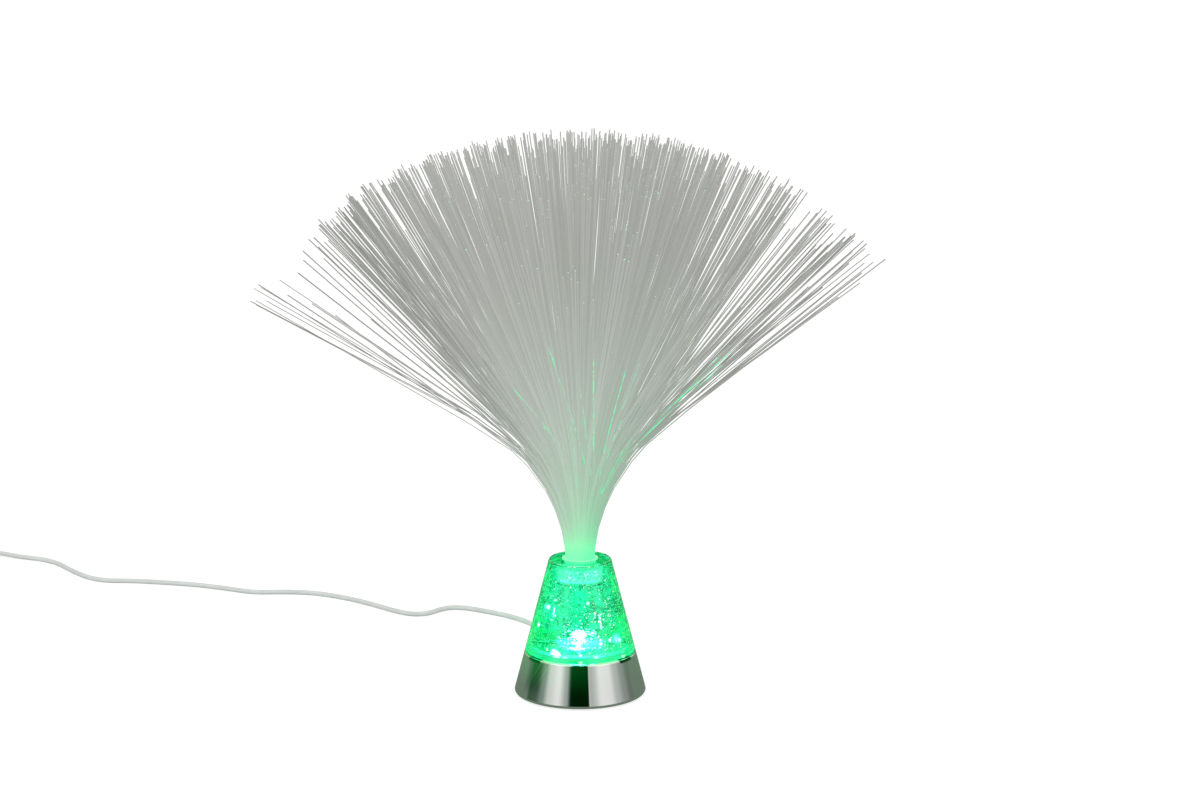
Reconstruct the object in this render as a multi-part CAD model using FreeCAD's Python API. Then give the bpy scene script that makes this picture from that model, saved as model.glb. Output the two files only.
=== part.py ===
import FreeCAD, Part
import math
import os

# Fiber optic table lamp: a chromed base, a clear vessel of glitter fluid on it, and a spray of
# light guiding fibres that plugs into the top of the vessel.
# Millimetres, +Z up. The origin is the middle of the underside, on the table. The front is -Y.

V = FreeCAD.Vector
UP = V(0, 0, 1)
BACK = V(0, 1, 0)
ORIGIN = V(0, 0, 0)

# ---------------------------------------------------------------- driving dimensions

# The base and the vessel share one straight conical side.
FOOT_R = 38.5           # radius of the cone at the table
RIM_R = 17.8            # radius of the cone at the top of the vessel
BASE_H = 25.0           # height of the chromed base
VESSEL_H = 55.0         # height of the vessel above it

# Base shell
SHELL_T = 2.0           # wall
DECK_T = 2.2            # top plate that carries the vessel
FOOT_GAP = 0.6          # the chromed foot stays this far above the table
FOOT_ROUND = 1.5
LIP_ROUND = 0.8
WINDOW_R = 21.0         # opening in the deck that lets the light through

# Underside
PAD_T = 1.2
PAD_INSET = 7.0         # from the foot of the cone to the edge of the pad
COVER_T = 2.4
COVER_FIT = 0.2
BOSS_H = 1.2            # the cover is thicker at its screws
BOSS_R = 4.0

# Screws: head radius, head height, shank radius, shank length
COVER_SCREW = (2.5, 1.6, 1.3, 8.0)
SMALL_SCREW = (1.9, 1.3, 1.0, 6.0)
SCREW_FIT = 0.15
THREAD_FIT = 0.05
COVER_SCREWS = 3
COVER_POST_R = 3.25
RECESS_D = 2.0

# Light unit
BOARD_T = 1.6
BOARD_MARGIN = 1.5      # board beyond the window
BOARD_SCREWS = 3
BOARD_SCREW_INSET = 2.7
BOARD_POST_R = 2.5
BOARD_SCREW_TURN = 15.0
REFLECTOR_H = 4.9
REFLECTOR_T = 1.0
REFLECTOR_FOOT_R = 13.0
REFLECTOR_FIT = 0.3
CENTER_LED = 5.0
CENTER_LED_H = 1.4
SIDE_LED = (3.5, 2.8, 1.9)
SIDE_LEDS = 3
SIDE_LED_R = 8.5
CHIP = (5.0, 3.9, 1.5)
CHIP_LEGS = 4
CHIP_LEG = 0.5
CHIP_PLACE = (6.0, -9.0)
RESISTOR = (2.0, 1.25, 0.6)
RESISTORS = 3
RESISTOR_PITCH = 3.0
RESISTOR_PLACE = (0.0, 3.0)
CAPACITOR_R = 2.5
CAPACITOR_H = 7.0
CAPACITOR_PLACE = (-9.0, -7.0)

# Power button and its switch, on a line that points outward from the axis of the lamp
BUTTON_TURN = -22.0     # degrees from straight back, about +Z
BUTTON_R = 4.5
BUTTON_FIT = 0.3
BUTTON_PROUD = 1.4
BUTTON_TRAVEL = 1.5
FLANGE_EXTRA = 1.4
FLANGE_T = 1.0
FLANGE_GAP = 0.4
SWITCH = (8.0, 10.0, 8.0)
SWITCH_FRONT = 24.0     # distance of its front face from the axis of the lamp
PLUNGER_R = 1.5
PLUNGER_SEAT = 2.0      # depth of its seat in the button
PLUNGER_DEPTH = 3.0     # depth of its end in the switch at rest

# Vessel
VESSEL_T = 2.5
TOP_T = 3.3
TOP_ROUND = 2.0
CUP_T = 1.2             # wall and bottom of the socket cup
FLOOR_T = 4.0
FLOOR_FIT = 0.1
SEAL_R = 0.8            # half thickness of the seal in the edge of the floor
BOND_T = 0.6
BOND_W = 6.0
BOND_INSET = 3.5        # from the edge of the base's deck
GUIDE_R = 9.5
FILL_R = 2.2
FILL_EDGE = 1.0         # floor left between the filling hole and the seal's groove
FLUID_FIT = 0.05

# Spray of fibres
FERRULE_BORE_R = 8.2
FERRULE_T = 1.0
FERRULE_FLANGE_R = 10.3
FERRULE_FLANGE_T = 1.5
SOCKET_FIT = 0.3
SOCKET_DEPTH = 13.5
ROOT_H = 5.5            # height of the bonded root of the bundle
ROOT_FIT = 0.05
FIBER_D = 0.75
FIBER_PITCH = 0.9
FIBER_RINGS = 8
FIBER_LENGTH = 253.0
FIBER_BEND = 100.0      # length of the curved part of each fibre
FIBER_TILT = 56.0       # lean of the outermost fibres, degrees
CORE_TILT = 30.0        # lean of the fibres at the edge of the dense core, degrees
CORE_SHARE = 0.89       # of the bundle's radius, at the edge of the dense core
TUFTS = 6

# Power cord
CORD_D = 3.0
CORD_FIT = 0.05
INNER_END_Y = 21.5      # where the sheath ends inside the base
GROMMET_NECK_R = 2.6
GROMMET_FLANGE_R = 4.3
GROMMET_FLANGE_T = 1.2
GROMMET_TIP_R = 2.0
CLAMP_Y = 23.0
CLAMP_W = 4.5
CLAMP_HALF = 6.5
CLAMP_T = 1.5
CLAMP_SCREW_X = 4.2
LEAD_D = 1.1
LEAD_APART = 1.5
COIL_MID_R = 16.0
COIL_LAYERS = 3
COIL_COLUMNS = 3
COIL_STUB = 12.5        # straight ends of the cord that leave the coil
COIL_LEAVES = 180.0     # place round the coil where its outer end leaves, degrees
TIE_T = 0.8
TIE_W = 5.0
TIE_PLACES = (120.0, 300.0)

# USB plug
PLUG_BODY = (15.0, 22.0, 7.5)
PLUG_ROUND = 1.8
PLUG_SHELL = (12.0, 12.0, 4.5)
PLUG_SHELL_T = 0.3
TONGUE_T = 1.8
TONGUE_SHORT = 1.0      # the tongue ends this far behind the mouth
RELIEF_L = 8.0
RELIEF_TIP_R = 2.0
RELIEF_FOOT_R = 3.2

# Route of the cord from the tip of its grommet to the coil
CORD_ROUTE = [
    V(-10, 47, 8.5), V(-10, 59, 8.5), V(-10.4, 71, 6.2), V(-11.8, 84, 3.2), V(-15, 99, 1.5),
    V(-22, 118, 1.5), V(-33, 139, 1.5), V(-46, 153.5, 1.5), V(-59.5, 163, 1.5),
    V(-69.5, 169.5, 1.5), V(-77, 172.8, 1.5), V(-84, 172.6, 1.5), V(-89.8, 168.6, 1.5),
    V(-93.8, 162.8, 1.5), V(-98.8, 158.2, 1.5), V(-105.5, 157, 1.5), V(-112.5, 160, 1.5),
    V(-122, 168, 1.5), V(-137, 183.5, 1.5), V(-157, 199, 1.5), V(-176, 208.5, 1.5),
    V(-196, 210, 1.5), V(-213, 208.5, 1.5), V(-230, 217.5, 1.5), V(-252, 227.5, 1.5),
    V(-275, 233, 1.5), V(-296, 237.5, 1.5), V(-313, 237, 1.5), V(-327, 245.5, 1.5),
    V(-341, 264, 1.5), V(-353, 282.5, 1.5), V(-365, 292.5, 1.5), V(-381, 298.3, 1.6),
    V(-397, 306.5, 2.3), V(-410, 312.8, 2.3),
]
# Steps of the cord from the coil to the plug
TAIL_STEPS = [V(0, -10.7, 0), V(1.6, -10.6, 1.45), V(4.0, -10.2, 0)]
# Inner leads: steps from the end of the sheath towards the board
LEAD_STEPS = [V(0, -3.0, 0), V(2.5, -4.0, 1.3), V(2.7, -2.2, 3.0)]

# ---------------------------------------------------------------- derived sizes

TOP_Z = BASE_H + VESSEL_H
TAPER = (FOOT_R - RIM_R) / TOP_Z
LEAN = math.atan(TAPER)
DECK_UNDER = BASE_H - DECK_T
COVER_TOP = PAD_T + COVER_T
BOSS_TOP = COVER_TOP + BOSS_H
BOARD_TOP = DECK_UNDER - REFLECTOR_FIT - REFLECTOR_H
BOARD_UNDER = BOARD_TOP - BOARD_T
BOARD_R = WINDOW_R + BOARD_MARGIN
BOARD_SCREW_C = BOARD_R - BOARD_SCREW_INSET
BUTTON_Z = BOARD_UNDER - SWITCH[2] / 2
CORD_R = CORD_D / 2
CORD_X = CORD_ROUTE[0].x
CORD_Z = CORD_ROUTE[0].z
FLOOR_TOP = BASE_H + FLOOR_T
SOCKET_FLOOR = TOP_Z - SOCKET_DEPTH
PLUG_R = FERRULE_BORE_R + FERRULE_T
SOCKET_R = PLUG_R + SOCKET_FIT
CUP_R = SOCKET_R + CUP_T
FIBER_START = SOCKET_FLOOR + ROOT_H


def cone_r(z):
    """Outer radius of the lamp's straight side at height z."""
    return FOOT_R - TAPER * z


def across(thickness):
    """Radial size of a wall that is measured square to the sloping side."""
    return thickness / math.cos(LEAN)


def shell_in(z):
    """Inner radius of the base shell at height z."""
    return cone_r(z) - across(SHELL_T)


def vessel_in(z):
    """Inner radius of the vessel at height z."""
    return cone_r(z) - across(VESSEL_T)


COVER_POST_C = shell_in(DECK_UNDER) - 0.8 * COVER_POST_R
BUTTON_FLANGE_R = BUTTON_R + FLANGE_EXTRA
FLANGE_FRONT = shell_in(BUTTON_Z + BUTTON_FLANGE_R) - FLANGE_GAP
FLANGE_BACK = FLANGE_FRONT - FLANGE_T
BOND_OUT_R = cone_r(BASE_H) - BOND_INSET
BOND_IN_R = BOND_OUT_R - BOND_W

# ---------------------------------------------------------------- helpers


def rounded_edges(points, radii, closed):
    """Straight runs between the points, joined by tangent arcs of the given radii."""
    count = len(points)
    corners = range(count) if closed else range(1, count - 1)
    cuts = [(p, p, None) for p in points]
    for i in corners:
        inward = (points[i] - points[i - 1]).normalize()
        outward = (points[(i + 1) % count] - points[i]).normalize()
        half = inward.getAngle(outward) / 2
        if radii[i] > 0 and half > 1e-6:
            reach = radii[i] * math.tan(half)
            bulge = radii[i] * (1 / math.cos(half) - 1)
            middle = points[i] + (outward - inward).normalize() * bulge
            cuts[i] = (points[i] - inward * reach, points[i] + outward * reach, middle)
    edges = []
    for i in range(count):
        start, end, middle = cuts[i]
        if middle is not None:
            edges.append(Part.Arc(start, middle, end).toShape())
        following = (i + 1) % count
        if (closed or i < count - 1) and end.distanceToPoint(cuts[following][0]) > 1e-6:
            edges.append(Part.LineSegment(end, cuts[following][0]).toShape())
    return edges


def turned(profile):
    """Solid of revolution about Z. A profile point is (radius, height) or (radius, height, round)."""
    points = [V(p[0], 0, p[1]) for p in profile]
    radii = [p[2] if len(p) > 2 else 0 for p in profile]
    face = Part.Face(Part.Wire(rounded_edges(points, radii, True)))
    return face.revolve(ORIGIN, UP, 360)


def disc(radius, low, high, x=0.0, y=0.0):
    """Upright cylinder between two heights."""
    return Part.makeCylinder(radius, high - low, V(x, y, low), UP)


def rod_back(radius, near, far, x, z):
    """Cylinder that points to the back, between two distances from the axis of the lamp."""
    return Part.makeCylinder(radius, far - near, V(x, near, z), BACK)


def block(size, center_x, center_y, low):
    """Box on a given height, centred over a point."""
    return Part.makeBox(size[0], size[1], size[2], V(center_x - size[0] / 2, center_y - size[1] / 2, low))


def around(count, radius, first=0.0):
    """Points evenly spaced round the axis; the first angle is counted from straight back."""
    for i in range(count):
        angle = math.radians(first + 360.0 * i / count)
        yield V(-radius * math.sin(angle), radius * math.cos(angle), 0)


def aimed(shape):
    """Turn a shape that points to the back onto the line of the power button."""
    return shape.rotated(ORIGIN, UP, BUTTON_TURN)


def cone_body(extra, low, high):
    """Solid inside the lamp's side, moved outward by a thickness square to that side."""
    grow = across(extra)
    return turned([(0, low), (cone_r(low) + grow, low), (cone_r(high) + grow, high), (0, high)])


def screw(sizes, place, heading):
    """Pan head screw; the place is the seat of its head and the heading is where it is driven."""
    head_r, head_h, shank_r, length = sizes
    head = Part.makeCylinder(head_r, head_h, place, heading * -1)
    shank = Part.makeCylinder(shank_r, length, place, heading)
    slot = head_r * 0.3
    cross = block((head_r * 1.3, slot, head_h), 0, 0, 0).fuse(block((slot, head_r * 1.3, head_h), 0, 0, 0))
    far = place.z - heading.z * head_h
    cross.translate(V(place.x, place.y, far - head_h / 2))
    return head.fuse(shank).cut(cross).removeSplitter()


def tube(points, radius, corner_radii):
    """Round tube along straight runs joined by tangent arcs."""
    path = Part.Wire(rounded_edges(points, corner_radii, False))
    heading = points[1] - points[0]
    ring = Part.Wire([Part.Circle(points[0], heading, radius).toShape()])
    solid = path.makePipeShell([ring], True, False)
    ratio = solid.Volume / (math.pi * radius ** 2 * path.Length)
    print("  tube length %.1f mm, volume over section times length %.4f" % (path.Length, ratio))
    return solid


def widest_arcs(points):
    """Radius of each corner's arc: as large as its two runs allow."""
    radii = [0.0] * len(points)
    for i in range(1, len(points) - 1):
        inward = points[i] - points[i - 1]
        outward = points[i + 1] - points[i]
        half = inward.getAngle(outward) / 2
        radii[i] = 0.45 * min(inward.Length, outward.Length) / math.tan(half)
    return radii


# ---------------------------------------------------------------- base


def button_hole():
    hole = Part.makeCylinder(BUTTON_R + BUTTON_FIT, FOOT_R, V(0, FLANGE_FRONT, BUTTON_Z), BACK)
    return aimed(hole)


def base_shell():
    cup = turned([
        (shell_in(FOOT_GAP), FOOT_GAP),
        (cone_r(FOOT_GAP), FOOT_GAP, min(FOOT_ROUND, 0.75 * SHELL_T)),
        (cone_r(BASE_H), BASE_H, min(LIP_ROUND, 0.75 * DECK_T)),
        (BOND_OUT_R, BASE_H),
        (BOND_OUT_R, BASE_H - BOND_T),
        (BOND_IN_R, BASE_H - BOND_T),
        (BOND_IN_R, BASE_H),
        (WINDOW_R, BASE_H),
        (WINDOW_R, DECK_UNDER),
        (shell_in(DECK_UNDER), DECK_UNDER),
    ])
    head_r, head_h, shank_r, length = COVER_SCREW
    seat = PAD_T + RECESS_D
    for p in around(COVER_SCREWS, COVER_POST_C, 60):
        post = disc(COVER_POST_R, BOSS_TOP, DECK_UNDER, p.x, p.y)
        cup = cup.fuse(post.common(cone_body(-SHELL_T / 2, 0, BASE_H)))
        cup = cup.cut(disc(shank_r + THREAD_FIT, BOSS_TOP, seat + length + 1, p.x, p.y))
    grommet_hole = rod_back(GROMMET_NECK_R, INNER_END_Y, FOOT_R + 1, CORD_X, CORD_Z)
    return cup.cut(grommet_hole).cut(button_hole()).removeSplitter()


def base_cover():
    edge = shell_in(PAD_T) - COVER_FIT
    plate = turned([(0, PAD_T), (edge, PAD_T), (shell_in(COVER_TOP) - COVER_FIT, COVER_TOP), (0, COVER_TOP)])
    head_r, head_h, shank_r, length = COVER_SCREW
    for p in around(COVER_SCREWS, COVER_POST_C, 60):
        plate = plate.fuse(disc(BOSS_R, COVER_TOP, BOSS_TOP, p.x, p.y))
        plate = plate.cut(disc(head_r + SCREW_FIT, PAD_T, PAD_T + RECESS_D, p.x, p.y))
        plate = plate.cut(disc(shank_r + SCREW_FIT, PAD_T, BOSS_TOP, p.x, p.y))
    head_r, head_h, shank_r, length = SMALL_SCREW
    for p in around(BOARD_SCREWS, BOARD_SCREW_C, BOARD_SCREW_TURN + 30):
        plate = plate.fuse(disc(BOARD_POST_R, COVER_TOP, BOARD_UNDER, p.x, p.y))
        plate = plate.cut(disc(shank_r + THREAD_FIT, BOARD_TOP - length - 1, BOARD_UNDER, p.x, p.y))
    cradle_h = CORD_Z - CORD_R - COVER_TOP
    cradle = block((2 * CLAMP_HALF, CLAMP_W, cradle_h), CORD_X, CLAMP_Y + CLAMP_W / 2, COVER_TOP)
    plate = plate.fuse(cradle)
    for p in clamp_screw_places():
        plate = plate.cut(disc(shank_r + THREAD_FIT, COVER_TOP, CORD_Z, p.x, p.y))
    return plate.removeSplitter()


def cover_screws():
    seat = PAD_T + RECESS_D
    places = [V(p.x, p.y, seat) for p in around(COVER_SCREWS, COVER_POST_C, 60)]
    return Part.makeCompound([screw(COVER_SCREW, p, UP) for p in places])


def base_pad():
    return turned([(0, 0), (FOOT_R - PAD_INSET, 0), (FOOT_R - PAD_INSET, PAD_T), (0, PAD_T)])


def bond_ring():
    low = BASE_H - BOND_T
    return turned([(BOND_IN_R, low), (BOND_OUT_R, low), (BOND_OUT_R, BASE_H), (BOND_IN_R, BASE_H)])


# ---------------------------------------------------------------- light unit


def led_board():
    board = disc(BOARD_R, BOARD_UNDER, BOARD_TOP)
    for p in around(BOARD_SCREWS, BOARD_SCREW_C, BOARD_SCREW_TURN + 30):
        board = board.cut(disc(SMALL_SCREW[2] + SCREW_FIT, BOARD_UNDER, BOARD_TOP, p.x, p.y))
    return board


def board_screws():
    places = [V(p.x, p.y, BOARD_TOP) for p in around(BOARD_SCREWS, BOARD_SCREW_C, BOARD_SCREW_TURN + 30)]
    return Part.makeCompound([screw(SMALL_SCREW, p, UP * -1) for p in places])


def center_led():
    """Colour changing LED: a square package with a shallow round lens."""
    lens_r = CENTER_LED * 0.42
    package = block((CENTER_LED, CENTER_LED, CENTER_LED_H), 0, 0, BOARD_TOP)
    lens = Part.makeSphere(lens_r, V(0, 0, BOARD_TOP + CENTER_LED_H - lens_r / 2))
    return package.fuse(lens.common(disc(CENTER_LED, BOARD_TOP, BOARD_TOP + 2 * CENTER_LED_H)))


def side_leds():
    leds = []
    for p in around(SIDE_LEDS, SIDE_LED_R, 180):
        package = block(SIDE_LED, p.x, p.y, BOARD_TOP)
        window = disc(SIDE_LED[1] * 0.35, BOARD_TOP + SIDE_LED[2] * 0.7, BOARD_TOP + SIDE_LED[2], p.x, p.y)
        leds.append(package.cut(window))
    return Part.makeCompound(leds)


def led_reflector():
    mouth = WINDOW_R - REFLECTOR_T
    high = BOARD_TOP + REFLECTOR_H
    return turned([
        (REFLECTOR_FOOT_R, BOARD_TOP),
        (REFLECTOR_FOOT_R + REFLECTOR_T, BOARD_TOP),
        (mouth + REFLECTOR_T, high),
        (mouth, high),
    ])


def control_chip():
    """Colour changing driver chip with its legs, under the board."""
    x, y = CHIP_PLACE
    stand = 0.2
    chip = block(CHIP, x, y, BOARD_UNDER - CHIP[2] - stand)
    pitch = CHIP[0] / CHIP_LEGS
    for i in range(CHIP_LEGS):
        leg_x = x + (i - (CHIP_LEGS - 1) / 2) * pitch
        for side in (-1, 1):
            leg_y = y + side * (CHIP[1] + CHIP_LEG) / 2
            chip = chip.fuse(block((CHIP_LEG, 2 * CHIP_LEG, CHIP[2] / 2), leg_x, leg_y, BOARD_UNDER - CHIP[2] / 2))
    return chip


def resistors():
    x, y = RESISTOR_PLACE
    low = BOARD_UNDER - RESISTOR[2]
    shift = (RESISTORS - 1) / 2
    row = [block(RESISTOR, x, y - (i - shift) * RESISTOR_PITCH, low) for i in range(RESISTORS)]
    return Part.makeCompound(row)


def capacitor():
    x, y = CAPACITOR_PLACE
    can = disc(CAPACITOR_R, BOARD_UNDER - CAPACITOR_H, BOARD_UNDER, x, y)
    return can.cut(disc(CAPACITOR_R * 0.7, 0, BOARD_UNDER - CAPACITOR_H + 0.3, x, y))


# ---------------------------------------------------------------- power button


def switch_body():
    width, depth, height = SWITCH
    body = block(SWITCH, 0, SWITCH_FRONT - depth / 2, BUTTON_Z - height / 2)
    bore = rod_back(PLUNGER_R + BUTTON_FIT, plunger_end() - BUTTON_TRAVEL - BUTTON_FIT, SWITCH_FRONT, 0, BUTTON_Z)
    return aimed(body.cut(bore))


def plunger_end():
    return SWITCH_FRONT - PLUNGER_DEPTH


def switch_plunger():
    return aimed(rod_back(PLUNGER_R, plunger_end(), FLANGE_BACK + PLUNGER_SEAT, 0, BUTTON_Z))


def power_button():
    """Push button whose face follows the slope and curve of the base."""
    flange = rod_back(BUTTON_FLANGE_R, FLANGE_BACK, FLANGE_FRONT, 0, BUTTON_Z)
    cap = rod_back(BUTTON_R, FLANGE_BACK, FOOT_R + BUTTON_PROUD + 1, 0, BUTTON_Z)
    cap = cap.common(cone_body(BUTTON_PROUD, 0, BASE_H))
    seat = rod_back(PLUNGER_R + THREAD_FIT, FLANGE_BACK, FLANGE_BACK + PLUNGER_SEAT, 0, BUTTON_Z)
    return aimed(flange.fuse(cap).cut(seat).removeSplitter())


# ---------------------------------------------------------------- vessel


def vessel():
    """Clear conical vessel with a socket cup in its thick top."""
    under_top = TOP_Z - TOP_T
    cup_under = SOCKET_FLOOR - CUP_T
    flange_r = FERRULE_FLANGE_R + SOCKET_FIT
    return turned([
        (vessel_in(BASE_H), BASE_H),
        (cone_r(BASE_H), BASE_H),
        (cone_r(TOP_Z), TOP_Z, min(TOP_ROUND, 0.75 * TOP_T)),
        (flange_r, TOP_Z),
        (flange_r, TOP_Z - FERRULE_FLANGE_T),
        (SOCKET_R, TOP_Z - FERRULE_FLANGE_T),
        (SOCKET_R, SOCKET_FLOOR),
        (0, SOCKET_FLOOR),
        (0, cup_under),
        (CUP_R, cup_under),
        (CUP_R, under_top),
        (vessel_in(under_top), under_top),
    ])


def seal_z():
    return BASE_H + FLOOR_T / 2


def groove_r():
    """Radius of the bottom of the seal's groove in the edge of the floor."""
    return vessel_in(seal_z()) - 2 * SEAL_R - FLOOR_FIT


def vessel_floor():
    low = seal_z() - SEAL_R
    high = seal_z() + SEAL_R
    floor = turned([
        (0, BASE_H),
        (vessel_in(BASE_H) - FLOOR_FIT, BASE_H),
        (vessel_in(low) - FLOOR_FIT, low),
        (groove_r(), low),
        (groove_r(), high),
        (vessel_in(high) - FLOOR_FIT, high),
        (vessel_in(FLOOR_TOP) - FLOOR_FIT, FLOOR_TOP),
        (0, FLOOR_TOP),
    ])
    return floor.cut(disc(FILL_R + FLUID_FIT, BASE_H, FLOOR_TOP, 0, fill_y()))


def floor_seal():
    section_r = SEAL_R - FLUID_FIT
    return Part.makeTorus(vessel_in(seal_z()) - SEAL_R - FLUID_FIT, section_r, V(0, 0, seal_z()), UP)


def fill_y():
    """The filling hole lies over the deck of the base, clear of the light's window."""
    return groove_r() - FILL_EDGE - FILL_R


def fill_plug():
    return disc(FILL_R, BASE_H, FLOOR_TOP, 0, fill_y())


def light_guide():
    """Clear rod that brings the light up to the ends of the fibres."""
    return disc(GUIDE_R, FLOOR_TOP, SOCKET_FLOOR - CUP_T)


def glitter_fluid():
    low = FLOOR_TOP + FLUID_FIT
    high = TOP_Z - TOP_T - FLUID_FIT
    cup_under = SOCKET_FLOOR - CUP_T - FLUID_FIT
    guide = GUIDE_R + FLUID_FIT
    return turned([
        (guide, low),
        (vessel_in(low) - FLUID_FIT, low),
        (vessel_in(high) - FLUID_FIT, high),
        (CUP_R + FLUID_FIT, high),
        (CUP_R + FLUID_FIT, cup_under),
        (guide, cup_under),
    ])


# ---------------------------------------------------------------- spray of fibres


def ferrule():
    """Flanged sleeve that holds the bundle and drops into the socket."""
    flange_low = TOP_Z - FERRULE_FLANGE_T
    return turned([
        (FERRULE_BORE_R, SOCKET_FLOOR),
        (PLUG_R, SOCKET_FLOOR),
        (PLUG_R, flange_low),
        (FERRULE_FLANGE_R, flange_low),
        (FERRULE_FLANGE_R, TOP_Z, 0.4),
        (FERRULE_BORE_R, TOP_Z),
    ])


def bonded_root():
    """Lower ends of all the fibres, bonded into one polished rod."""
    return disc(FERRULE_BORE_R - ROOT_FIT, SOCKET_FLOOR, FIBER_START)


def fiber_lean(share):
    """Lean of a fibre in degrees by its place: 0 on the axis of the bundle, 1 at its edge."""
    if share < CORE_SHARE:
        return CORE_TILT * share / CORE_SHARE
    return CORE_TILT + (FIBER_TILT - CORE_TILT) * (share - CORE_SHARE) / (1 - CORE_SHARE)


def fiber(place_r, azimuth, share):
    """One fibre: it leaves the root upright, bends outward along an arc and runs on straight."""
    lean = math.radians(fiber_lean(share))
    start = V(place_r, 0, FIBER_START)
    section = Part.Face(Part.Wire([Part.Circle(start, UP, FIBER_D / 2).toShape()]))
    if lean < 1e-6:
        return section.extrude(UP * FIBER_LENGTH)
    bend_r = FIBER_BEND / lean
    pivot = start + V(bend_r, 0, 0)
    along = V(math.sin(lean), 0, math.cos(lean))
    bent = section.revolve(pivot, BACK, math.degrees(lean))
    section.rotate(pivot, BACK, math.degrees(lean))
    straight = section.extrude(along * (FIBER_LENGTH - FIBER_BEND))
    return bent.fuse(straight).rotated(ORIGIN, UP, azimuth)


def fiber_places():
    """Close packed places: distance from the axis and azimuth of each fibre."""
    for row in range(-FIBER_RINGS, FIBER_RINGS + 1):
        for column in range(-FIBER_RINGS, FIBER_RINGS + 1):
            if abs(row + column) <= FIBER_RINGS:
                x = FIBER_PITCH * (column + row / 2)
                y = FIBER_PITCH * row * math.sqrt(3) / 2
                yield round(math.hypot(x, y), 6), math.degrees(math.atan2(y, x)) % 360


def fiber_tufts():
    """The fibres in equal wedges round the axis."""
    places = list(fiber_places())
    reaches = [place_r for place_r, _ in places]
    tufts = [[] for _ in range(TUFTS)]
    for place_r, azimuth in places:
        # the share of the bundle's area that lies further in, as a radius
        nearer = sum(reach < place_r for reach in reaches) + (reaches.count(place_r) - 1) / 2
        share = math.sqrt(nearer / len(places))
        wedge = int(round(azimuth, 3) * TUFTS / 360) % TUFTS
        tufts[wedge].append(fiber(place_r, azimuth, share))
    return [Part.makeCompound(tuft) for tuft in tufts]


# ---------------------------------------------------------------- power cord


def cord_grommet():
    """Snap-in bush with a flange on each side of the wall and a tapered tail."""
    shell_out = cone_body(0, 0, BASE_H)
    outer = cone_body(GROMMET_FLANGE_T, 0, BASE_H).cut(shell_out)
    inner = cone_body(-SHELL_T, 0, BASE_H).cut(cone_body(-SHELL_T - GROMMET_FLANGE_T, 0, BASE_H))
    reach = rod_back(GROMMET_FLANGE_R, INNER_END_Y, FOOT_R + 5, CORD_X, CORD_Z)
    wall_y = math.sqrt(cone_r(CORD_Z) ** 2 - CORD_X ** 2)
    neck_start = wall_y - across(SHELL_T) - GROMMET_FLANGE_T
    neck = rod_back(GROMMET_NECK_R, neck_start, wall_y + GROMMET_FLANGE_T, CORD_X, CORD_Z)
    tail_l = CORD_ROUTE[0].y - wall_y
    tail = Part.makeCone(GROMMET_NECK_R, GROMMET_TIP_R, tail_l, V(CORD_X, wall_y, CORD_Z), BACK)
    bush = neck.fuse([outer.common(reach), inner.common(reach), tail])
    bore = rod_back(CORD_R + CORD_FIT, INNER_END_Y, CORD_ROUTE[0].y, CORD_X, CORD_Z)
    return bush.cut(bore).removeSplitter()


def cord_inner_end():
    """The end of the cord's sheath, through the grommet to the clamp."""
    return rod_back(CORD_R, INNER_END_Y, CORD_ROUTE[0].y, CORD_X, CORD_Z)


def clamp_screw_places():
    y = CLAMP_Y + CLAMP_W / 2
    return [V(CORD_X + side * CLAMP_SCREW_X, y, clamp_top()) for side in (-1, 1)]


def clamp_top():
    return CORD_Z + CORD_R + CLAMP_T


def cord_clamp():
    low = CORD_Z - CORD_R
    bar = block((2 * CLAMP_HALF, CLAMP_W, clamp_top() - low), CORD_X, CLAMP_Y + CLAMP_W / 2, low)
    bar = bar.cut(rod_back(CORD_R + CORD_FIT, CLAMP_Y - 1, CLAMP_Y + CLAMP_W + 1, CORD_X, CORD_Z))
    for p in clamp_screw_places():
        bar = bar.cut(disc(SMALL_SCREW[2] + SCREW_FIT, low, clamp_top(), p.x, p.y))
    return bar


def clamp_screws():
    return Part.makeCompound([screw(SMALL_SCREW, p, UP * -1) for p in clamp_screw_places()])


def inner_lead(side):
    """One insulated lead from the end of the sheath up to the underside of the board."""
    points = [V(CORD_X + side * LEAD_APART / 2, INNER_END_Y, CORD_Z)]
    for step in LEAD_STEPS:
        points.append(points[-1] + step)
    points.append(V(points[-1].x, points[-1].y, BOARD_UNDER))
    return tube(points, LEAD_D / 2, widest_arcs(points))


def power_cord():
    radii = widest_arcs(CORD_ROUTE)
    print("  corner radii of the cord:", ", ".join("%.0f" % r for r in radii[1:-1]))
    return tube(CORD_ROUTE, CORD_R, radii)


def coil_frame():
    """Centre of the coil and the level of its lowest turns: the cord runs into its outermost turn."""
    heading = CORD_ROUTE[-1] - CORD_ROUTE[-2]
    heading.z = 0
    heading.normalize()
    touch = CORD_ROUTE[-1] + heading * COIL_STUB
    center = touch + V(-heading.y, heading.x, 0) * outer_turn_r()
    return center, heading


def outer_turn_r():
    return COIL_MID_R + (COIL_COLUMNS - 1) / 2 * CORD_D


def coil_ring(grow):
    """Outer shape of the wound turns, grown by a clearance."""
    center, heading = coil_frame()
    half = COIL_COLUMNS * CORD_D / 2 + grow
    low = center.z - CORD_R - grow
    high = center.z - CORD_R + COIL_LAYERS * CORD_D + grow
    ring = turned([
        (COIL_MID_R - half, low),
        (COIL_MID_R + half, low),
        (COIL_MID_R + half, high),
        (COIL_MID_R - half, high),
    ])
    ring.translate(V(center.x, center.y, 0))
    return ring


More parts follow.
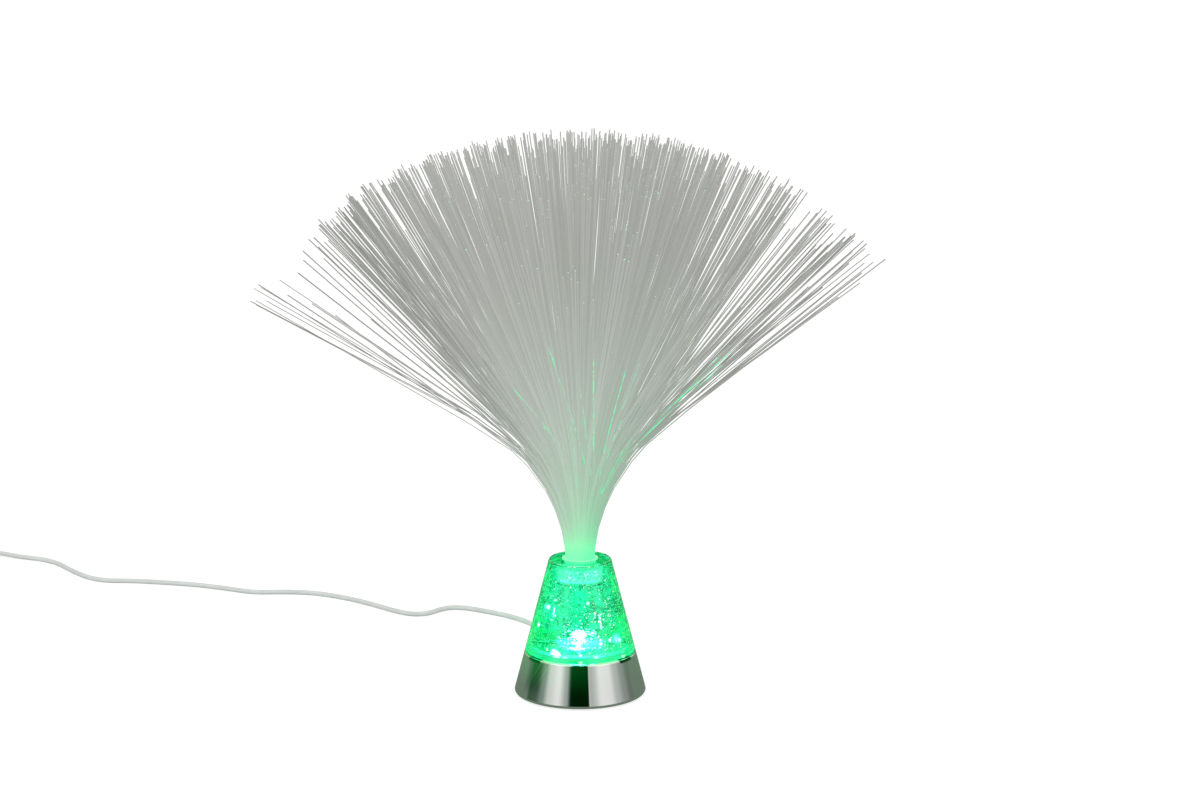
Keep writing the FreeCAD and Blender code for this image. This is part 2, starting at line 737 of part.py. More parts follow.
def tail_start():
    """Where the cord is free of the coil again, and its heading there."""
    center, heading = coil_frame()
    angle = math.radians(COIL_LEAVES)
    side = V(math.cos(angle), math.sin(angle), 0)
    along = V(-side.y, side.x, 0)
    return center + side * outer_turn_r() + along * COIL_STUB, along


def cord_coil():
    center, heading = coil_frame()
    stub_in = Part.makeCylinder(CORD_R, COIL_STUB, CORD_ROUTE[-1], heading)
    leaving, along = tail_start()
    stub_out = Part.makeCylinder(CORD_R, COIL_STUB, leaving, along * -1)
    return coil_ring(0).fuse([stub_in, stub_out]).removeSplitter()


def cord_ties():
    """Two bands that keep the turns of the coil together."""
    center, heading = coil_frame()
    outer = COIL_MID_R + COIL_COLUMNS * CORD_D / 2 + TIE_T
    inner = COIL_MID_R - COIL_COLUMNS * CORD_D / 2 - TIE_T
    low = center.z - CORD_R - TIE_T
    high = center.z - CORD_R + COIL_LAYERS * CORD_D + TIE_T
    core = coil_ring(CORD_FIT)
    ties = []
    for angle in TIE_PLACES:
        band = Part.makeBox(outer - inner, TIE_W, high - low, V(inner, -TIE_W / 2, low))
        band.rotate(ORIGIN, UP, angle)
        band.translate(V(center.x, center.y, 0))
        ties.append(band.cut(core))
    return Part.makeCompound(ties)


def tail_points():
    points = [tail_start()[0]]
    for step in TAIL_STEPS:
        points.append(points[-1] + step)
    return points


def cord_end():
    points = tail_points()
    return tube(points, CORD_R, widest_arcs(points))


def on_tail(shape):
    """Put a shape that points to the back at the end of the cord, level, in the cord's heading."""
    points = tail_points()
    heading = points[-1] - points[-2]
    turn = math.degrees(math.atan2(-heading.x, heading.y))
    placed = shape.rotated(ORIGIN, UP, turn)
    placed.translate(points[-1])
    return placed


def plug_relief():
    return on_tail(Part.makeCone(RELIEF_TIP_R, RELIEF_FOOT_R, RELIEF_L, ORIGIN, BACK))


def usb_plug_body():
    width, depth, height = PLUG_BODY
    body = block(PLUG_BODY, 0, RELIEF_L + depth / 2, -height / 2)
    long_edges = [e for e in body.Edges if abs(e.tangentAt(0).y) > 0.9]
    return on_tail(body.makeFillet(min(PLUG_ROUND, 0.4 * height), long_edges))


def usb_shell():
    width, depth, height = PLUG_SHELL
    start = RELIEF_L + PLUG_BODY[1]
    sleeve = block(PLUG_SHELL, 0, start + depth / 2, -height / 2)
    hollow = (width - 2 * PLUG_SHELL_T, depth, height - 2 * PLUG_SHELL_T)
    return on_tail(sleeve.cut(block(hollow, 0, start + depth / 2, -hollow[2] / 2)))


def usb_tongue():
    """Insulator that fills the upper part of the metal shell."""
    width, depth, height = PLUG_SHELL
    start = RELIEF_L + PLUG_BODY[1]
    size = (width - 2 * PLUG_SHELL_T - CORD_FIT, depth - TONGUE_SHORT, TONGUE_T)
    top = height / 2 - PLUG_SHELL_T - CORD_FIT / 2
    return on_tail(block(size, 0, start + size[1] / 2, top - TONGUE_T))


# ---------------------------------------------------------------- export

SUB_PARTS = {
    "base_shell": base_shell,
    "base_cover": base_cover,
    "cover_screws": cover_screws,
    "base_pad": base_pad,
    "bond_ring": bond_ring,
    "led_board": led_board,
    "board_screws": board_screws,
    "center_led": center_led,
    "side_leds": side_leds,
    "led_reflector": led_reflector,
    "control_chip": control_chip,
    "resistors": resistors,
    "capacitor": capacitor,
    "switch_body": switch_body,
    "switch_plunger": switch_plunger,
    "power_button": power_button,
    "vessel": vessel,
    "vessel_floor": vessel_floor,
    "floor_seal": floor_seal,
    "fill_plug": fill_plug,
    "light_guide": light_guide,
    "glitter_fluid": glitter_fluid,
    "ferrule": ferrule,
    "bonded_root": bonded_root,
    "cord_grommet": cord_grommet,
    "cord_inner_end": cord_inner_end,
    "cord_clamp": cord_clamp,
    "clamp_screws": clamp_screws,
    "power_cord": power_cord,
    "cord_coil": cord_coil,
    "cord_ties": cord_ties,
    "cord_end": cord_end,
    "plug_relief": plug_relief,
    "usb_plug_body": usb_plug_body,
    "usb_shell": usb_shell,
    "usb_tongue": usb_tongue,
}


def export(name, shape):
    print("%-16s solids %3d  volume %10.2f  valid %s" % (name, len(shape.Solids), shape.Volume, shape.isValid()))
    shape.exportStep(os.path.join("parts", name + ".step"))


def main():
    os.makedirs("parts", exist_ok=True)
    for name, make in SUB_PARTS.items():
        export(name, make())
    for color, side in (("red", -1), ("black", 1)):
        export("lead_" + color, inner_lead(side))
    for number, tuft in enumerate(fiber_tufts(), 1):
        export("fiber_tuft_%d" % number, tuft)


main()
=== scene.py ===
import math
import random

import bmesh
import bpy
from bpy.props import FloatProperty, FloatVectorProperty, IntProperty, PointerProperty
from mathutils import Matrix, Vector


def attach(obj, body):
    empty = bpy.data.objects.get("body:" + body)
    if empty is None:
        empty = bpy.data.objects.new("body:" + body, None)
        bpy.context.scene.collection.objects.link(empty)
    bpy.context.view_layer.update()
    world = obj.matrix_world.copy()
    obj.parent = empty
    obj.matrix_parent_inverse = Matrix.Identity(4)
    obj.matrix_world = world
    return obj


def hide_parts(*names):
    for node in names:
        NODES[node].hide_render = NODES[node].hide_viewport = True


bl_info = {
    "name": "Fiber Optic Lamp",
    "version": (1, 0, 0),
    "blender": (4, 5, 0),
    "location": "View3D > Sidebar > Lamp",
    "description": "Dresses the frame of a fiber optic table lamp",
    "category": "Object",
}

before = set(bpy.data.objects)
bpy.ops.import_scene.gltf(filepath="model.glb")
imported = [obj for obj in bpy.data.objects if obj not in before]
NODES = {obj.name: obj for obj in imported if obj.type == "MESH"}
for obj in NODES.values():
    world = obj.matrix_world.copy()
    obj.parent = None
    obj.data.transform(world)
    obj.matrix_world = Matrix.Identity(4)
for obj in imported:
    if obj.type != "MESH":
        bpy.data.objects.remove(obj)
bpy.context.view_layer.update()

# Metres, +Z up. The lamp stands on Z = 0 with its axis on Z, and its front is -Y.
MM = 0.001

# Side of the lamp: one straight cone from the table to the top of the vessel
FOOT_R = 38.5 * MM
RIM_R = 17.8 * MM
TOP_Z = 80.0 * MM
TAPER = (FOOT_R - RIM_R) / TOP_Z
BASE_H = 25.0 * MM

# Vessel, the column in it and the socket cup over the column
FLOOR_TOP = 29.0 * MM
WALL = 2.5 * MM
LID_UNDER = TOP_Z - 3.3 * MM
GUIDE_R = 9.5 * MM
CUP_UNDER = 65.3 * MM
CUP_R = 10.7 * MM
CORE_INSET = 5.0 * MM     # from the vessel's side to where the fluid's colour begins

# Route of the cord in millimetres: from the tip of its grommet down to the table, along the table
# at half a diameter, and up to the coil
ROUTE_DOWN = ((-10, 47, 8.5), (-10, 59, 8.5), (-10.4, 71, 6.2), (-11.8, 84, 3.2))
ROUTE_FLAT = (
    (-15, 99), (-22, 118), (-33, 139), (-46, 153.5), (-59.5, 163), (-69.5, 169.5), (-77, 172.8),
    (-84, 172.6), (-89.8, 168.6), (-93.8, 162.8), (-98.8, 158.2), (-105.5, 157), (-112.5, 160),
    (-122, 168), (-137, 183.5), (-157, 199), (-176, 208.5), (-196, 210), (-213, 208.5),
    (-230, 217.5), (-252, 227.5), (-275, 233), (-296, 237.5), (-313, 237), (-327, 245.5),
    (-341, 264), (-353, 282.5), (-365, 292.5),
)
ROUTE_UP = ((-381, 298.3, 1.6), (-397, 306.5, 2.3), (-410, 312.8, 2.3))
CORD_ROUTE = [
    tuple(round(c * MM, 7) for c in point)
    for point in (*ROUTE_DOWN, *((x, y, 1.5) for x, y in ROUTE_FLAT), *ROUTE_UP)
]
# The coil: straight stretches before and after it, radius of its innermost column, and the column
# and layer of each turn, from the one that the cord runs into to the last
COIL_STUB = 12.5 * MM
COIL_R = 16.0 * MM
COIL_TURNS = [(1, 0), (0, 0), (-1, 0), (-1, 1), (-1, 2), (0, 2), (0, 1), (1, 1), (1, 2)]
COIL_STEPS = 16
COIL_SHIFT = 0.2          # share of a turn in which the cord moves over to the next place
# Steps of the cord from the coil to the plug
TAIL_STEPS = [(0, -0.0107, 0), (0.0016, -0.0106, 0.00145), (0.004, -0.0102, 0)]

BLACK = (0, 0, 0)
WHITE = (1, 1, 1)


# ---------------------------------------------------------------- shader expressions


class Wire:
    """An output of a shader node, which takes part in Python expressions."""

    def __init__(self, graph, socket):
        self.graph = graph
        self.socket = socket

    def out(self, name):
        """Another output of the same node."""
        return Wire(self.graph, self.socket.node.outputs[name])

    def math(self, operation, *others):
        values = dict(enumerate((self, *others)))
        return self.graph.node("Math", {"operation": operation}, values)

    def __add__(self, other):
        return self.math("ADD", other)

    __radd__ = __add__

    def __sub__(self, other):
        return self.math("SUBTRACT", other)

    def __rsub__(self, other):
        return self * -1 + other

    def __mul__(self, other):
        return self.math("MULTIPLY", other)

    __rmul__ = __mul__

    def __truediv__(self, other):
        return self.math("DIVIDE", other)

    def __pow__(self, other):
        return self.math("POWER", other)

    def __gt__(self, other):
        return self.math("GREATER_THAN", other)

    def __lt__(self, other):
        return self.math("LESS_THAN", other)

    def __abs__(self):
        return self.math("ABSOLUTE")

    def ramp(self, low, high, start=0.0, end=1.0):
        """Smooth step of the value from low to high, between start and end."""
        values = {"Value": self, "From Min": low, "From Max": high, "To Min": start, "To Max": end}
        return self.graph.node("MapRange", {"interpolation_type": "SMOOTHSTEP"}, values)

    def fall(self, low, high):
        """1 below low, 0 over high."""
        return self.ramp(low, high, 1.0, 0.0)

    def line(self, middle, width):
        """1 where the value is at the middle, falling to 0 at a width on both sides."""
        return abs(self - middle).fall(0.0, width)

    def decay(self, start, length):
        """1 at the start, less by the factor e for each length beyond it."""
        return ((self - start) / -length).math("EXPONENT")


class Graph:
    """The node tree of a material or of the world."""

    def __init__(self, owner):
        owner.use_nodes = True
        self.tree = owner.node_tree
        self.tree.nodes.clear()

    def node(self, kind, settings=None, values=None):
        """Makes a node: its settings first, then the values or wires of its sockets."""
        node = self.tree.nodes.new("ShaderNode" + kind)
        for name, value in (settings or {}).items():
            if name == "stops":
                self.set_stops(node.color_ramp, value)
            else:
                setattr(node, name, value)
        for name, value in (values or {}).items():
            self.put(node.inputs[name], value)
        return Wire(self, node.outputs[0]) if node.outputs else None

    def put(self, socket, value):
        """Links a wire to a socket, or sets the socket's value."""
        if isinstance(value, Wire):
            self.tree.links.new(value.socket, socket)
        elif hasattr(value, "__len__") and len(socket.default_value) == 4:
            socket.default_value = (*value, 1.0)
        else:
            socket.default_value = value

    def set_stops(self, ramp, stops):
        while len(ramp.elements) < len(stops):
            ramp.elements.new(0.5)
        for element, (place, color) in zip(ramp.elements, stops):
            element.position = place
            element.color = (*color, 1.0)

    def point(self):
        """Object coordinates."""
        return self.node("TexCoord").out("Object")

    def parts(self, vector):
        """The three numbers of a vector."""
        split = self.node("SeparateXYZ", values={0: vector})
        return split, split.out(1), split.out(2)

    def around(self, place):
        """The three coordinates of a place, and its distance from the lamp's axis."""
        x, y, z = self.parts(place)
        return x, y, z, (x * x + y * y).math("SQRT")

    def attribute(self, name, output="Fac"):
        return self.node("Attribute", {"attribute_name": name}).out(output)

    def facing(self):
        """0 where the surface is seen square on, 1 where it is seen edge on."""
        return self.node("LayerWeight", values={"Blend": 0.5}).out("Facing")

    def noise(self, vector, size, detail=3.0, rough=0.5, scale=None):
        """Soft noise from 0 to 1 whose grain is about size metres; scale squeezes it by axis."""
        if scale:
            vector = self.node("Mapping", values={"Vector": vector, "Scale": scale})
        values = {"Vector": vector, "Scale": 1 / size, "Detail": detail, "Roughness": rough}
        return self.node("TexNoise", values=values).out("Fac")

    def cells(self, vector, size):
        """Three random numbers for each cell of about size metres, and the distance to its middle."""
        made = self.node("TexVoronoi", values={"Vector": vector, "Scale": 1 / size})
        return *self.parts(made.out("Color")), made.out("Distance")

    def blend(self, first, second, share, mode="MIX"):
        """Colours blended by a share from 0 to 1."""
        settings = {"data_type": "RGBA", "blend_type": mode}
        return self.node("Mix", settings, {0: share, 6: first, 7: second}).out(2)

    def ramp_color(self, value, stops, smooth=True):
        made = self.node("ValToRGB", {"stops": stops}, {0: value})
        made.socket.node.color_ramp.interpolation = "EASE" if smooth else "CONSTANT"
        return made

    def bump(self, height, depth):
        """Normal from a height; depth is the height of 1 in metres."""
        return self.node("Bump", values={"Height": height, "Distance": depth, "Strength": 1.0})

    def glint(self, place, spot, reach):
        """1 at a spot given in millimetres, falling to 0 at a distance."""
        center = tuple(c * MM for c in spot)
        gap = self.node("VectorMath", {"operation": "DISTANCE"}, {0: place, 1: center}).out("Value")
        return gap.fall(0.0, reach * MM)

    def gather(self, place, glints):
        """Sum of glints, each given as its spot, reach and strength."""
        return sum(self.glint(place, spot, reach) * strength for spot, reach, strength in glints)


class Finish(Graph):
    """A material with one Principled shader."""

    def __init__(self, name, **values):
        self.material = bpy.data.materials.new(name)
        super().__init__(self.material)
        self.shader = self.node("BsdfPrincipled")
        self.node("OutputMaterial", values={"Surface": self.shader})
        self.feed(**values)

    def feed(self, **values):
        """Links wires to sockets of the shader, or sets their values."""
        for name, value in values.items():
            socket = name.replace("_", " ").title().replace("Ior", "IOR")
            self.put(self.shader.socket.node.inputs[socket], value)
        return self

    def glow(self, color, strength=1.0):
        """Light that the surface gives off."""
        return self.feed(emission_color=color, emission_strength=strength)


def lighter(color, factor):
    return tuple(min(1.0, c * factor) for c in color)


def moulded(name, color, roughness, grain=0.4 * MM, depth=0.006 * MM):
    """Moulded plastic: slow colour drift, fine grain and a trace of wear."""
    finish = Finish(name)
    place = finish.point()
    drift = finish.noise(place, 9 * MM, 2.0)
    fine = finish.noise(place, grain, 4.0, 0.6)
    return finish.feed(
        base_color=finish.blend(lighter(color, 0.88), lighter(color, 1.1), drift),
        roughness=fine.ramp(0.3, 0.7, roughness - 0.06, roughness + 0.08),
        normal=finish.bump(fine, depth),
    )


def metal(name, color, roughness):
    """Plated or bare metal with fine marks."""
    finish = Finish(name, metallic=1.0)
    place = finish.point()
    fine = finish.noise(place, 0.25 * MM, 3.0, 0.6, (1, 1, 5))
    drift = finish.noise(place, 6 * MM, 2.0)
    return finish.feed(
        base_color=finish.blend(lighter(color, 0.93), color, drift),
        roughness=fine.ramp(0.3, 0.75, roughness * 0.8, roughness * 1.3),
        normal=finish.bump(fine, 0.002 * MM),
    )


def clear(name, ior=1.0):
    """Clear plastic or fluid."""
    return Finish(name, transmission_weight=1.0, ior=ior, roughness=0.0)


def wear(finish, *nodes):
    """Gives CAD nodes their finish."""
    for node in nodes:
        for slot in NODES[node].material_slots:
            slot.material = finish.material


# ---------------------------------------------------------------- mesh helpers


def linked(name, data):
    """Makes an object of some data and links it to the scene."""
    made = bpy.data.objects.new(name, data)
    bpy.context.scene.collection.objects.link(made)
    return made


def new_piece(name, bm, finishes, body, replaced=(), smooth=False):
    """Makes a bmesh into a finished piece that rides on a body."""
    mesh = bpy.data.meshes.new(name)
    bm.to_mesh(mesh)
    bm.free()
    for finish in finishes:
        mesh.materials.append(finish.material)
    if smooth:
        mesh.shade_smooth()
    piece = linked(name, mesh)
    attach(piece, body)
    if replaced:
        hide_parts(*replaced)


def stamp(bm, template, shape):
    """Adds a copy of a template; shape gives each corner's new place and its attributes' values."""
    verts = {}
    for v in template.verts:
        place, marks = shape(v.co)
        verts[v] = bm.verts.new(place)
        for layer, value in marks:
            verts[v][layer] = value
    for f in template.faces:
        bm.faces.new([verts[v] for v in f.verts]).material_index = f.material_index


def nurbs(name, points, radius, finish):
    """Round cord on one smooth curve with the points as its control points."""
    curve = bpy.data.curves.new(name, "CURVE")
    curve.dimensions = "3D"
    curve.bevel_depth = radius
    curve.bevel_resolution = 3
    curve.resolution_u = 4
    curve.use_fill_caps = True
    spline = curve.splines.new("NURBS")
    spline.points.add(len(points) - 1)
    for point, place in zip(spline.points, points):
        point.co = (*place, 1.0)
    spline.order_u = 3
    spline.use_endpoint_u = True
    curve.materials.append(finish.material)
    return linked(name, curve)


def toward(angle):
    """Level direction at an angle about the axis from the right."""
    return Vector((math.cos(angle), math.sin(angle), 0))


def set_at(place, size=WHITE, turn=None):
    """Matrix that sizes, turns and then moves a new shape."""
    return Matrix.LocRotScale(Vector(place), turn, Vector(size))


def cone_r(z):
    """Radius of the lamp's straight side at a height, which may be a wire."""
    return FOOT_R - TAPER * z


# ---------------------------------------------------------------- settings


class LampBaseSettings(bpy.types.PropertyGroup):
    plating: FloatVectorProperty(
        name="Plating", description="Colour of the bright plating", subtype="COLOR",
        default=(0.86, 0.865, 0.86), min=0, max=1,
    )
    polish: FloatProperty(
        name="Polish", description="Roughness of the plating", subtype="FACTOR",
        default=0.02, min=0, max=1,
    )


class LampVesselSettings(bpy.types.PropertyGroup):
    tint: FloatVectorProperty(
        name="Tint", description="Colour that the lit fluid lets through", subtype="COLOR",
        default=(0.022, 0.86, 0.42), min=0, max=1,
    )


class LampGlitterSettings(bpy.types.PropertyGroup):
    flakes: IntProperty(
        name="Flakes", description="Number of glitter flakes in the fluid", default=8500, min=0,
    )
    size: FloatProperty(
        name="Flake Size", description="Width of a glitter flake", subtype="DISTANCE", unit="LENGTH",
        default=0.66 * MM, min=0,
    )


class LampSpraySettings(bpy.types.PropertyGroup):
    fibers: IntProperty(
        name="Fibres", description="Number of fibres in the spray", default=1135, min=6,
    )
    diameter: FloatProperty(
        name="Diameter", description="Diameter of a fibre outside the bundle", subtype="DISTANCE",
        unit="LENGTH", default=0.70 * MM, min=0,
    )
    length: FloatProperty(
        name="Length", description="Length of a fibre from its root to its tip", subtype="DISTANCE",
        unit="LENGTH", default=253.0 * MM, min=0,
    )
    core_lean: FloatProperty(
        name="Core Lean", description="Lean of the fibres at the edge of the dense core",
        subtype="ANGLE", unit="ROTATION", default=math.radians(29.2), min=0, max=math.pi / 2,
    )
    lean: FloatProperty(
        name="Lean", description="Lean of the outermost fibres", subtype="ANGLE", unit="ROTATION",
        default=math.radians(51.4), min=0, max=math.pi / 2,
    )


class LampCordSettings(bpy.types.PropertyGroup):
    diameter: FloatProperty(
        name="Diameter", description="Diameter of the cord", subtype="DISTANCE", unit="LENGTH",
        default=3.0 * MM, min=0,
    )
    sheath: FloatVectorProperty(
        name="Sheath", description="Colour of the cord's sheath", subtype="COLOR",
        default=(0.70, 0.735, 0.71), min=0, max=1,
    )


class LampStageSettings(bpy.types.PropertyGroup):
    level: FloatProperty(
        name="Light Level", description="Strength of the soft light all round", default=0.8, min=0,
    )


# ---------------------------------------------------------------- stage


# What a polished surface meets round the lamp, by degrees from the front: softboxes with a
# dark gap between them at the front, and two more at the back
BOXES = (
    (-180, (0.04, 0.06, 0.05)), (-164, (0.06, 0.08, 0.06)), (-150, (0.70, 0.72, 0.70)),
    (-122, (0.18, 0.25, 0.19)), (-110, (0.15, 0.22, 0.16)), (-100, (0.05, 0.10, 0.06)),
    (-86, (0.07, 0.11, 0.08)), (-71, (0.21, 0.28, 0.23)), (-57, (0.66, 0.69, 0.65)),
    (-40, (0.86, 0.86, 0.85)), (-24, (0.36, 0.40, 0.37)), (-18, (0.03, 0.07, 0.05)),
    (-16, (0.0, 0.007, 0.001)), (15.5, (0.0, 0.007, 0.001)), (17, (0.55, 0.56, 0.52)),
    (21, (0.44, 0.46, 0.43)), (25, (0.52, 0.54, 0.52)), (40, (0.86, 0.86, 0.85)),
    (56, (0.82, 0.83, 0.82)), (71, (0.48, 0.50, 0.49)), (87, (0.27, 0.30, 0.28)),
    (102, (0.15, 0.18, 0.15)), (122, (0.15, 0.20, 0.15)), (150, (0.70, 0.72, 0.70)),
    (164, (0.06, 0.08, 0.06)), (180, (0.04, 0.06, 0.05)),
)
# Lights: name, place, diameter and power
LIGHTS = (
    ("key_light", (-0.9, -1.1, 1.5), 1.2, 9.0),
    ("fill_light", (1.3, -0.6, 1.0), 1.0, 4.0),
)
LIGHT_AIM = (0, 0, 0.15)
CAMERA_PLACE = (0.01149, -1.66897, 0.52112)
CAMERA_DOWN = math.radians(11.8)
LENS = 90.0
FLOOR_SIZE = 6.0


def surround(scene, level):
    """White all round, soft light, and softboxes that only polished surfaces meet."""
    scene.world = bpy.data.worlds.new("studio")
    graph = Graph(scene.world)
    x, y, _ = graph.parts(graph.node("TexCoord").out("Generated"))
    # turn about the axis: 0.5 at the front, 0 to the left and 1 to the right of the back
    turn = x.math("ARCTAN2", y * -1) / (2 * math.pi) + 0.5
    boxes = graph.ramp_color(turn, [(0.5 + angle / 360, color) for angle, color in BOXES])
    path = graph.node("LightPath")
    soft = graph.blend((level,) * 3, boxes, path.out("Is Glossy Ray"))
    color = graph.blend(soft, WHITE, seen(path))
    sky = graph.node("Background", values={"Color": color, "Strength": 1.0})
    graph.node("OutputWorld", values={"Surface": sky})


def seen(path):
    """1 for what the camera sees, also through clear things."""
    return path.out("Is Camera Ray").math("MAXIMUM", path.out("Is Transmission Ray"))


def table():
    """White table that keeps a trace of the lamp's shadow."""
    bm = bmesh.new()
    bmesh.ops.create_grid(bm, x_segments=1, y_segments=1, size=FLOOR_SIZE)
    mesh = bpy.data.meshes.new("floor")
    bm.to_mesh(mesh)
    bm.free()
    material = bpy.data.materials.new("table_top")
    graph = Graph(material)
    path = graph.node("LightPath")

    def surface(kind, *values):
        return graph.node(kind, values=dict(enumerate(values)))

    bright = surface("Emission", WHITE, 0.76)
    shade = surface("BsdfDiffuse", (0.35, 0.35, 0.35))
    paint = surface("BsdfDiffuse", (0.8, 0.8, 0.8))
    # painted reflection: in polished surfaces the table shows as a dim green-grey glow
    polish = surface("Emission", (0.16, 0.215, 0.165), 1.0)
    mirrored = surface("MixShader", path.out("Is Glossy Ray"), paint, polish)
    top = surface("MixShader", seen(path), mirrored, surface("AddShader", bright, shade))
    graph.node("OutputMaterial", values={"Surface": top})
    mesh.materials.append(material)
    linked("floor", mesh)


def softbox(name, place, size, power):
    light = bpy.data.lights.new(name, "AREA")
    light.shape = "DISK"
    light.size = size
    light.energy = power
    lamp = linked(name, light)
    lamp.location = place
    aim = Vector(LIGHT_AIM) - Vector(place)
    lamp.rotation_euler = aim.to_track_quat("-Z", "Y").to_euler()
    lamp.visible_glossy = False
    lamp.visible_transmission = False


def aim_camera(scene):
    camera = bpy.data.cameras.new("camera")
    camera.lens = LENS
    camera.sensor_width = 36.0
    camera.clip_end = 20.0
    scene.camera = linked("camera", camera)
    scene.camera.location = CAMERA_PLACE
    scene.camera.rotation_euler = (math.pi / 2 - CAMERA_DOWN, 0, 0)


class LAMP_OT_stage(bpy.types.Operator):
    """Makes the floor, the light and the camera"""

    bl_idname = "lamp.stage"
    bl_label = "Stage"

    def execute(self, context):
        scene = context.scene
        scene.view_settings.view_transform = "Standard"
        surround(scene, scene.lamp_stage.level)
        table()
        for name, place, size, power in LIGHTS:
            softbox(name, place, size, power)
        aim_camera(scene)
        return {"FINISHED"}


# ---------------------------------------------------------------- base


# Moulded parts: nodes, then the name, colour, roughness and, where it isn't fine, the grain
# and its depth of their finish
MOULDED = (
    (["base_cover"], "cover_black", (0.02, 0.02, 0.021), 0.5),
    (["base_pad"], "pad_rubber", (0.035, 0.035, 0.036), 0.8, 0.5 * MM, 0.03 * MM),
    (["led_board"], "board_white", (0.72, 0.74, 0.72), 0.35),
    (["led_reflector"], "reflector_white", (0.8, 0.82, 0.8), 0.3),
    (["control_chip", "resistors", "switch_body"], "component_black", (0.03, 0.03, 0.032), 0.4),
    (["switch_plunger"], "plunger_white", (0.7, 0.7, 0.68), 0.4),
    (["power_button"], "button_black", (0.025, 0.025, 0.027), 0.38, 0.3 * MM, 0.01 * MM),
)


def plating(color, polish):
    finish = Finish("chrome_plate", metallic=1.0)
    place = finish.point()
    x, y, z = finish.parts(place)
    turn = x.math("ARCTAN2", y * -1)
    aside = abs(turn)
    drift = finish.noise(place, 12 * MM, 2.0)
    rub = finish.noise(place, 0.7 * MM, 3.0, 0.6, (1, 1, 6))
    plain = finish.blend(lighter(color, 0.96), color, drift)
    # painted reflection: the dark side of the room shows in the upper left
    painted_dark_reflection = turn.ramp(-1.12, -0.96) * turn.fall(-0.80, -0.62) * z.ramp(3 * MM, 13 * MM, 0.0, 0.6)
    plain = finish.blend(plain, (0.02, 0.12, 0.05), painted_dark_reflection)
    # painted reflection: dark arcs under the vessel's edge, beside the bright lip
    gap = z.ramp(23.1 * MM, 23.5 * MM) * aside.ramp(0.78, 0.81) * aside.fall(1.10, 1.16)
    # light that leaves the foot of the vessel and fans out over the plating on the left
    down = (BASE_H - z) / BASE_H
    fan = turn + down * 0.42
    values = {"W": fan, "Scale": 17.0, "Detail": 3.0}
    rays = finish.node("TexNoise", {"noise_dimensions": "1D"}, values).out("Fac").ramp(0.50, 0.72)
    span = fan.ramp(-1.05, -0.8) * fan.fall(-0.45, -0.2)
    fade = down.fall(0.0, 0.8) * (z > 1 * MM)
    wash = down.ramp(0.0, 0.75, 0.052, 0.004) * turn.ramp(-1.3, 0.6, 1.9, 0.6)
    spill = finish.blend(BLACK, (0.01, 1.0, 0.13), rays * span * fade * 0.13 + wash)
    # painted highlight: a pale glow along the lip on both sides of the front
    painted_highlight_edge = z.ramp(24.2 * MM, 24.5 * MM) * aside.fall(0.76, 0.79) * aside.ramp(0.13, 0.16)
    return finish.feed(
        base_color=finish.blend(plain, (0.02, 0.05, 0.01), gap),
        roughness=rub.ramp(0.4, 0.8, polish, polish + 0.05),
        normal=finish.bump(drift, 0.004 * MM),
    ).glow(finish.blend(spill, (0.62, 0.66, 0.52), painted_highlight_edge * 0.6))


class LAMP_OT_base(bpy.types.Operator):
    """Finishes the chromed base and what is in it"""

    bl_idname = "lamp.base"
    bl_label = "Base"

    def execute(self, context):
        settings = context.scene.lamp_base
        wear(plating(tuple(settings.plating), settings.polish), "base_shell")
        for nodes, *finish in MOULDED:
            wear(moulded(*finish), *nodes)
        steel = metal("screw_steel", (0.56, 0.56, 0.55), 0.28)
        wear(steel, "cover_screws", "board_screws", "clamp_screws")
        wear(metal("capacitor_can", (0.62, 0.63, 0.65), 0.3), "capacitor")
        resin = moulded("led_resin", (0.75, 0.85, 0.7), 0.2).glow((0.3, 1.0, 0.6), 2.0)
        wear(resin, "center_led", "side_leds")
        return {"FINISHED"}


# ---------------------------------------------------------------- vessel


# Small parts that the light shines through: node, finish, colour, roughness, light, strength
LIT_PARTS = (
    ("floor_seal", "seal_silicone", (0.03, 0.35, 0.16), 0.4, (0.01, 0.70, 0.28), 0.9),
    ("fill_plug", "plug_clear", (0.3, 0.8, 0.5), 0.3, (0.05, 0.7, 0.3), 0.6),
    ("bond_ring", "bond_tape", (0.03, 0.3, 0.14), 0.4, (0.01, 0.65, 0.26), 0.8),
)
# Light caught in the glitter near the wall: spot in millimetres, reach, strength
GLINTS = (
    ((-14.2, -24.4, 29.8), 4.4, 1.0), ((-12.0, -25.4, 29.3), 2.6, 1.0),
    ((19.6, -17.2, 36.6), 5.4, 0.45), ((16.4, -20.4, 36.6), 1.6, 1.0),
    ((22.4, -15.6, 35.2), 2.6, 0.5), ((11.6, -24.0, 35.4), 1.8, 1.0),
    ((11.4, -23.6, 37.6), 1.4, 0.9), ((0.4, -27.8, 29.8), 1.5, 1.0),
    ((-22.6, -10.6, 42.8), 2.2, 1.0), ((-17.0, -13.6, 54.2), 2.3, 1.0),
    ((-18.6, -11.4, 54.0), 2.8, 0.4), ((-13.2, -15.4, 58.9), 1.3, 0.8),
    ((4.5, -20.5, 58.4), 1.5, 1.0), ((-3.8, -21.2, 50.6), 1.2, 0.9),
    ((-16.5, 22.6, 30.5), 3.0, 0.9), ((14.0, 21.0, 41.0), 2.4, 0.6),
    ((-24.0, 8.0, 38.0), 2.0, 0.7), ((25.0, 9.0, 33.0), 2.6, 0.7),
    ((-0.8, -29.0, 35.2), 4.8, 0.8), ((-1.0, -28.4, 38.6), 10.5, 0.22),
    ((-0.6, -27.4, 41.8), 3.6, 0.6),
)
